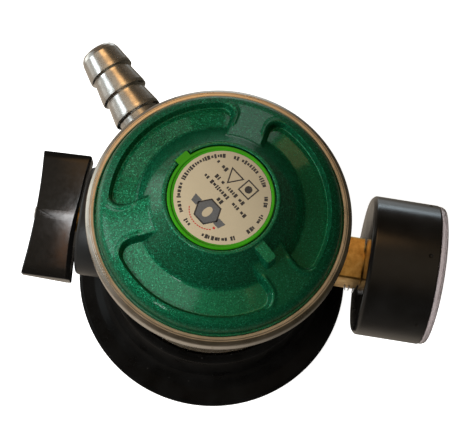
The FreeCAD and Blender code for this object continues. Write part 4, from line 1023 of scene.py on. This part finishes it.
def make_dial_print():
    """Pressure scale: ticks over three quarters of a turn, a red end zone and plain numbers."""
    face = dial_high.x
    radius = (dial_high.z - dial_low.z) / 2
    shapes = []
    for index in range(33):
        angle = math.radians(225 - 270 * index / 32)
        long_tick = index % 4 == 0
        outer = radius - 1.0
        inner = outer - (2.4 if long_tick else 1.3)
        half = 0.16 if long_tick else 0.09
        normal = (-math.sin(angle) * half, math.cos(angle) * half)
        corners = []
        for reach, side in ((outer, 1), (outer, -1), (inner, -1), (inner, 1)):
            y, z = dial_point(reach, angle)
            corners.append((y + side * normal[0], z + side * normal[1]))
        shapes.append(prism(corners, face - 0.01, face + 0.03))
    dial_mark("dial_ticks", shapes, INK_BLACK)
    shapes = []
    for index in range(10):
        first = math.radians(225 - 270 * (26 + index * 0.6) / 32)
        last = math.radians(225 - 270 * (26 + (index + 1) * 0.6) / 32)
        corners = [dial_point(r, a) for r, a in ((radius - 0.75, first), (radius - 0.75, last),
                                                 (radius - 0.35, last), (radius - 0.35, first))]
        shapes.append(prism(corners, face - 0.01, face + 0.03))
    dial_mark("dial_red_zone", shapes, INK_RED)
    shapes = []
    for number in range(0, 17, 4):
        angle = math.radians(225 - 270 * number / 16)
        y, z = dial_point(radius - 5.3, angle)
        shapes.append(number_shape(str(number), 2.8, (y, z, face)))
    dial_mark("dial_numbers", shapes, INK_BLACK)


def number_shape(text, size, centre):
    """Flat raised numeral from the built-in font, lying down until the dial's print is stood up."""
    curve = bpy.data.curves.new("numeral", "FONT")
    curve.body = text
    curve.size = size
    curve.align_x = "CENTER"
    curve.align_y = "CENTER"
    curve.extrude = 0.02
    curve.resolution_u = 3
    holder = bpy.data.objects.new("numeral", curve)
    bpy.context.scene.collection.objects.link(holder)
    graph = bpy.context.evaluated_depsgraph_get()
    mesh = bpy.data.meshes.new_from_object(holder.evaluated_get(graph))
    points = [tuple(Vector(centre) + v.co) for v in mesh.vertices]
    faces = [tuple(p.vertices) for p in mesh.polygons]
    bpy.data.objects.remove(holder)
    return points, faces


def make_tape_shreds():
    """Loose ends of thread tape at the gauge's neck."""
    draw = random.Random(11)
    shapes = []
    half = 6.0
    for x in (37.6, 39.0, 40.4, 41.6):
        size = draw.uniform(0.35, 0.8)
        length = draw.uniform(0.8, 1.6)
        sway = draw.uniform(-0.5, 0.5)
        drop = draw.uniform(-3.0, 2.0)
        points = []
        steps = 5
        for step in range(steps + 1):
            t = step / steps
            y = -half + 0.1 - length * math.sin(1.4 * t)
            z = AXIS_HEIGHT - 2.5 + drop - 0.9 * length * (1 - math.cos(1.6 * t))
            wide = size * (1 - 0.45 * t)
            for side, lift in ((-1, 0), (1, 0), (1, 0.08), (-1, 0.08)):
                points.append((x + sway * t + side * wide / 2, y, z + lift))
        shapes.append((points, ring_faces(steps + 1, 4, closed=False)))
    points, faces = joined(shapes)
    add_piece("tape_shreds", points, faces, "ptfe")


# --- studio


def make_floor():
    """Plain pale floor just below the object."""
    mesh = bpy.data.meshes.new("floor")
    half = 3.0
    level = -0.0002
    mesh.from_pydata([(-half, -half, level), (half, -half, level), (half, half, level), (-half, half, level)],
                     [], [(0, 1, 2, 3)])
    floor = bpy.data.objects.new("floor", mesh)
    bpy.context.scene.collection.objects.link(floor)
    paint = Paint("floor_pale")
    grain = paint.noise(4.0, 3.0)
    paint.set(Base_Color=paint.ramp(grain, [(0.3, (0.93, 0.93, 0.93)), (0.7, (0.95, 0.95, 0.95))]),
              Roughness=0.9, Specular_IOR_Level=0.0, Emission_Color=(1.0, 1.0, 1.0, 1),
              Emission_Strength=0.96)
    mesh.materials.append(paint.material)
    floor.visible_glossy = False


def toward(azimuth, elevation):
    """Unit vector in a heading given in degrees."""
    a, e = math.radians(azimuth), math.radians(elevation)
    return Vector((math.cos(a) * math.cos(e), math.sin(a) * math.cos(e), math.sin(e)))


def make_world():
    """White backdrop and dim warm fill; shiny surfaces mirror a dark room with windows and lamps."""
    world = bpy.data.worlds.new("studio")
    bpy.context.scene.world = world
    world.use_nodes = True
    world.cycles.sampling_method = "NONE"
    world.node_tree.nodes.clear()
    sky = Nodes(world.node_tree)
    direction = sky.add("ShaderNodeTexCoord").outputs["Generated"]
    height = sky.add("ShaderNodeSeparateXYZ", {"Vector": direction}).outputs["Z"]
    level = sky.add("ShaderNodeMapRange", {"Value": height, "From Min": -1.0, "From Max": 1.0})
    room = sky.ramp(level.outputs["Result"], [
        (0.0, (0.52, 0.45, 0.37)), (0.35, (0.30, 0.25, 0.20)), (0.50, (0.15, 0.12, 0.09)),
        (0.68, (0.09, 0.07, 0.05)), (0.88, (0.16, 0.115, 0.07)), (1.0, (0.36, 0.27, 0.17))])
    # azimuth, elevation, core half angle, soft edge, strength
    shadows = [(15, -25, 40, 35, 0.85), (290, 0, 30, 30, 0.6), (75, 33, 8, 14, 0.35)]
    for *spot, strength in shadows:
        share = sky.math("MULTIPLY", lobe_share(sky, direction, *spot), strength)
        room = sky.mix(share, room, (0.012, 0.012, 0.006))
    # azimuth, elevation, core half angle, soft edge, colour, strength
    lamps = [
        (187, 27, 6, 9, (0.86, 0.96, 1.0), 3.0),
        (192, 5, 10, 20, (0.95, 0.98, 0.95), 0.30),
        (166, -15, 8, 14, (0.92, 0.98, 0.95), 1.2),
        (92, -24, 8, 12, (0.85, 0.95, 1.0), 0.75),
        (109, 57, 7, 10, (1.0, 0.55, 0.22), 1.6),
        (160, 13, 6, 9, (0.90, 0.97, 1.0), 0.6),
        (160, 52, 8, 18, (1.0, 0.90, 0.75), 0.30),
    ]
    for *spot, colour, strength in lamps:
        share = lobe_share(sky, direction, *spot)
        glow = sky.vector("SCALE", {0: tuple(c * strength for c in colour), "Scale": share})
        room = sky.vector("ADD", {0: room, 1: glow})
    path = sky.add("ShaderNodeLightPath").outputs
    matt = sky.mix(path["Is Diffuse Ray"], (1.0, 1.0, 1.0), (0.13, 0.11, 0.08))
    seen = sky.mix(path["Is Glossy Ray"], matt, room)
    background = sky.add("ShaderNodeBackground", {"Color": seen, "Strength": 1.0})
    sky.add("ShaderNodeOutputWorld", {"Surface": background.outputs["Background"]})


def lobe_share(sky, direction, azimuth, elevation, core, soft):
    """1 near a direction, falling smoothly to 0 over the soft edge."""
    aim = toward(azimuth, elevation)
    dot = sky.add("ShaderNodeVectorMath", {0: direction, 1: aim}, operation="DOT_PRODUCT").outputs["Value"]
    low = math.cos(math.radians(core + soft))
    high = math.cos(math.radians(core))
    share = sky.add("ShaderNodeMapRange", {"Value": dot, "From Min": low, "From Max": high},
                    interpolation_type="SMOOTHSTEP")
    return share.outputs["Result"]


def add_panel(name, aim, heading, distance, size, power, colour=(0.93, 0.97, 1.0), pieces=()):
    """Soft light panel in a heading (azimuth, elevation) from a point; it can be kept to some pieces."""
    data = bpy.data.lights.new(name, "AREA")
    data.shape = "RECTANGLE"
    data.size, data.size_y = (s * MM for s in size)
    data.energy = power
    data.color = colour
    lamp = bpy.data.objects.new(name, data)
    way = toward(*heading)
    lamp.location = (Vector(aim) + way * distance) * MM
    lamp.rotation_mode = "QUATERNION"
    lamp.rotation_quaternion = (-way).to_track_quat("-Z", "Y")
    bpy.context.scene.collection.objects.link(lamp)
    lamp.visible_camera = False
    if pieces:
        group = bpy.data.collections.new(name + "_pieces")
        for piece in pieces:
            group.objects.link(bpy.data.objects[piece])
        lamp.light_linking.receiver_collection = group
        lamp.visible_diffuse = False
    return lamp


def make_lights():
    """A soft key for matt surfaces, and panels that gleam on the pieces they are kept to."""
    key = add_panel("key", (0, 0, 60), (214, 42), 750, (320, 320), 8.0, (0.97, 0.99, 1.0))
    key.visible_glossy = False
    cover = ("cover_shell", "cover_date_clock")
    add_panel("cover_key", (-10, -14, 74), (212, 63), 500, (400, 400), 0.80, (0.90, 1.0, 0.98), cover)
    add_panel("cover_glint", (-10, -20, 74), (240, 40), 500, (60, 60), 0.15, (0.86, 1.0, 0.97), cover)
    add_panel("cover_warm_near", (20, -19, 75), (325, 70), 450, (130, 130), 0.080, (1.0, 0.70, 0.28), cover)
    add_panel("cover_warm_far", (19, 21, 71), (62, 37), 450, (110, 110), 0.045, (1.0, 0.70, 0.28), cover)
    add_panel("gauge_gleam", (51, 12, AXIS_HEIGHT + 14), (90, -13), 150, (130, 24), 0.030, (0.75, 0.90, 1.0),
              ("gauge_shell",))
    add_panel("cover_gleam_far", (5, 26, 74), (83, 24), 500, (190, 150), 0.14, pieces=cover)
    add_panel("cover_gleam_back", (-18, 18, 72), (128, 38), 500, (300, 200), 0.10, (1.0, 0.97, 0.88), cover)
    add_panel("knob_gleam", (-45, 0, AXIS_HEIGHT + 5), (146, 77), 420, (150, 76), 0.90, pieces=("wing_knob",))
    add_panel("knob_glow", (-46, -13, AXIS_HEIGHT + 3), (173, 73), 420, (160, 30), 0.05, (1.0, 0.45, 0.20),
              ("wing_knob",))
    add_panel("bonnet_gleam", (-30, -8, AXIS_HEIGHT + 13), (270, 46), 380, (70, 70), 0.42, (0.88, 0.96, 1.0),
              pieces=("bonnet_shell",))


def make_camera():
    """Camera above the front edge, leaning back from the vertical and rolled a little."""
    elevation = math.radians(73.68)
    roll = math.radians(9.05)
    distance = 0.350
    aim = Vector((0.00430, -0.00110, RING_TOP * MM))
    back = Vector((0, -math.cos(elevation), math.sin(elevation)))
    right = Vector((1, 0, 0))
    up = back.cross(right)
    camera_right = math.cos(roll) * right + math.sin(roll) * up
    camera_up = -math.sin(roll) * right + math.cos(roll) * up
    data = bpy.data.cameras.new("camera")
    data.sensor_width = 36.0
    data.sensor_fit = "HORIZONTAL"
    data.lens = 102.9
    data.clip_start = 0.01
    data.clip_end = 20.0
    camera = bpy.data.objects.new("camera", data)
    rotation = Matrix((camera_right, camera_up, back)).transposed()
    camera.matrix_world = Matrix.Translation(aim + back * distance) @ rotation.to_4x4()
    bpy.context.scene.collection.objects.link(camera)
    bpy.context.scene.camera = camera


# --- build the scene

dress_cad_nodes()
make_cover()
make_cover_mark()
make_plug()
make_label()
make_ring()
make_casting()
make_nozzle()
make_knob()
make_bonnet()
make_collar()
make_gauge()
make_dial_print()
make_tape_shreds()
make_springs()
broken_edges("gauge_socket", "brass_socket", "brass", 0.12)

make_floor()
make_world()
make_lights()
make_camera()
bpy.context.scene.view_settings.view_transform = "Standard"
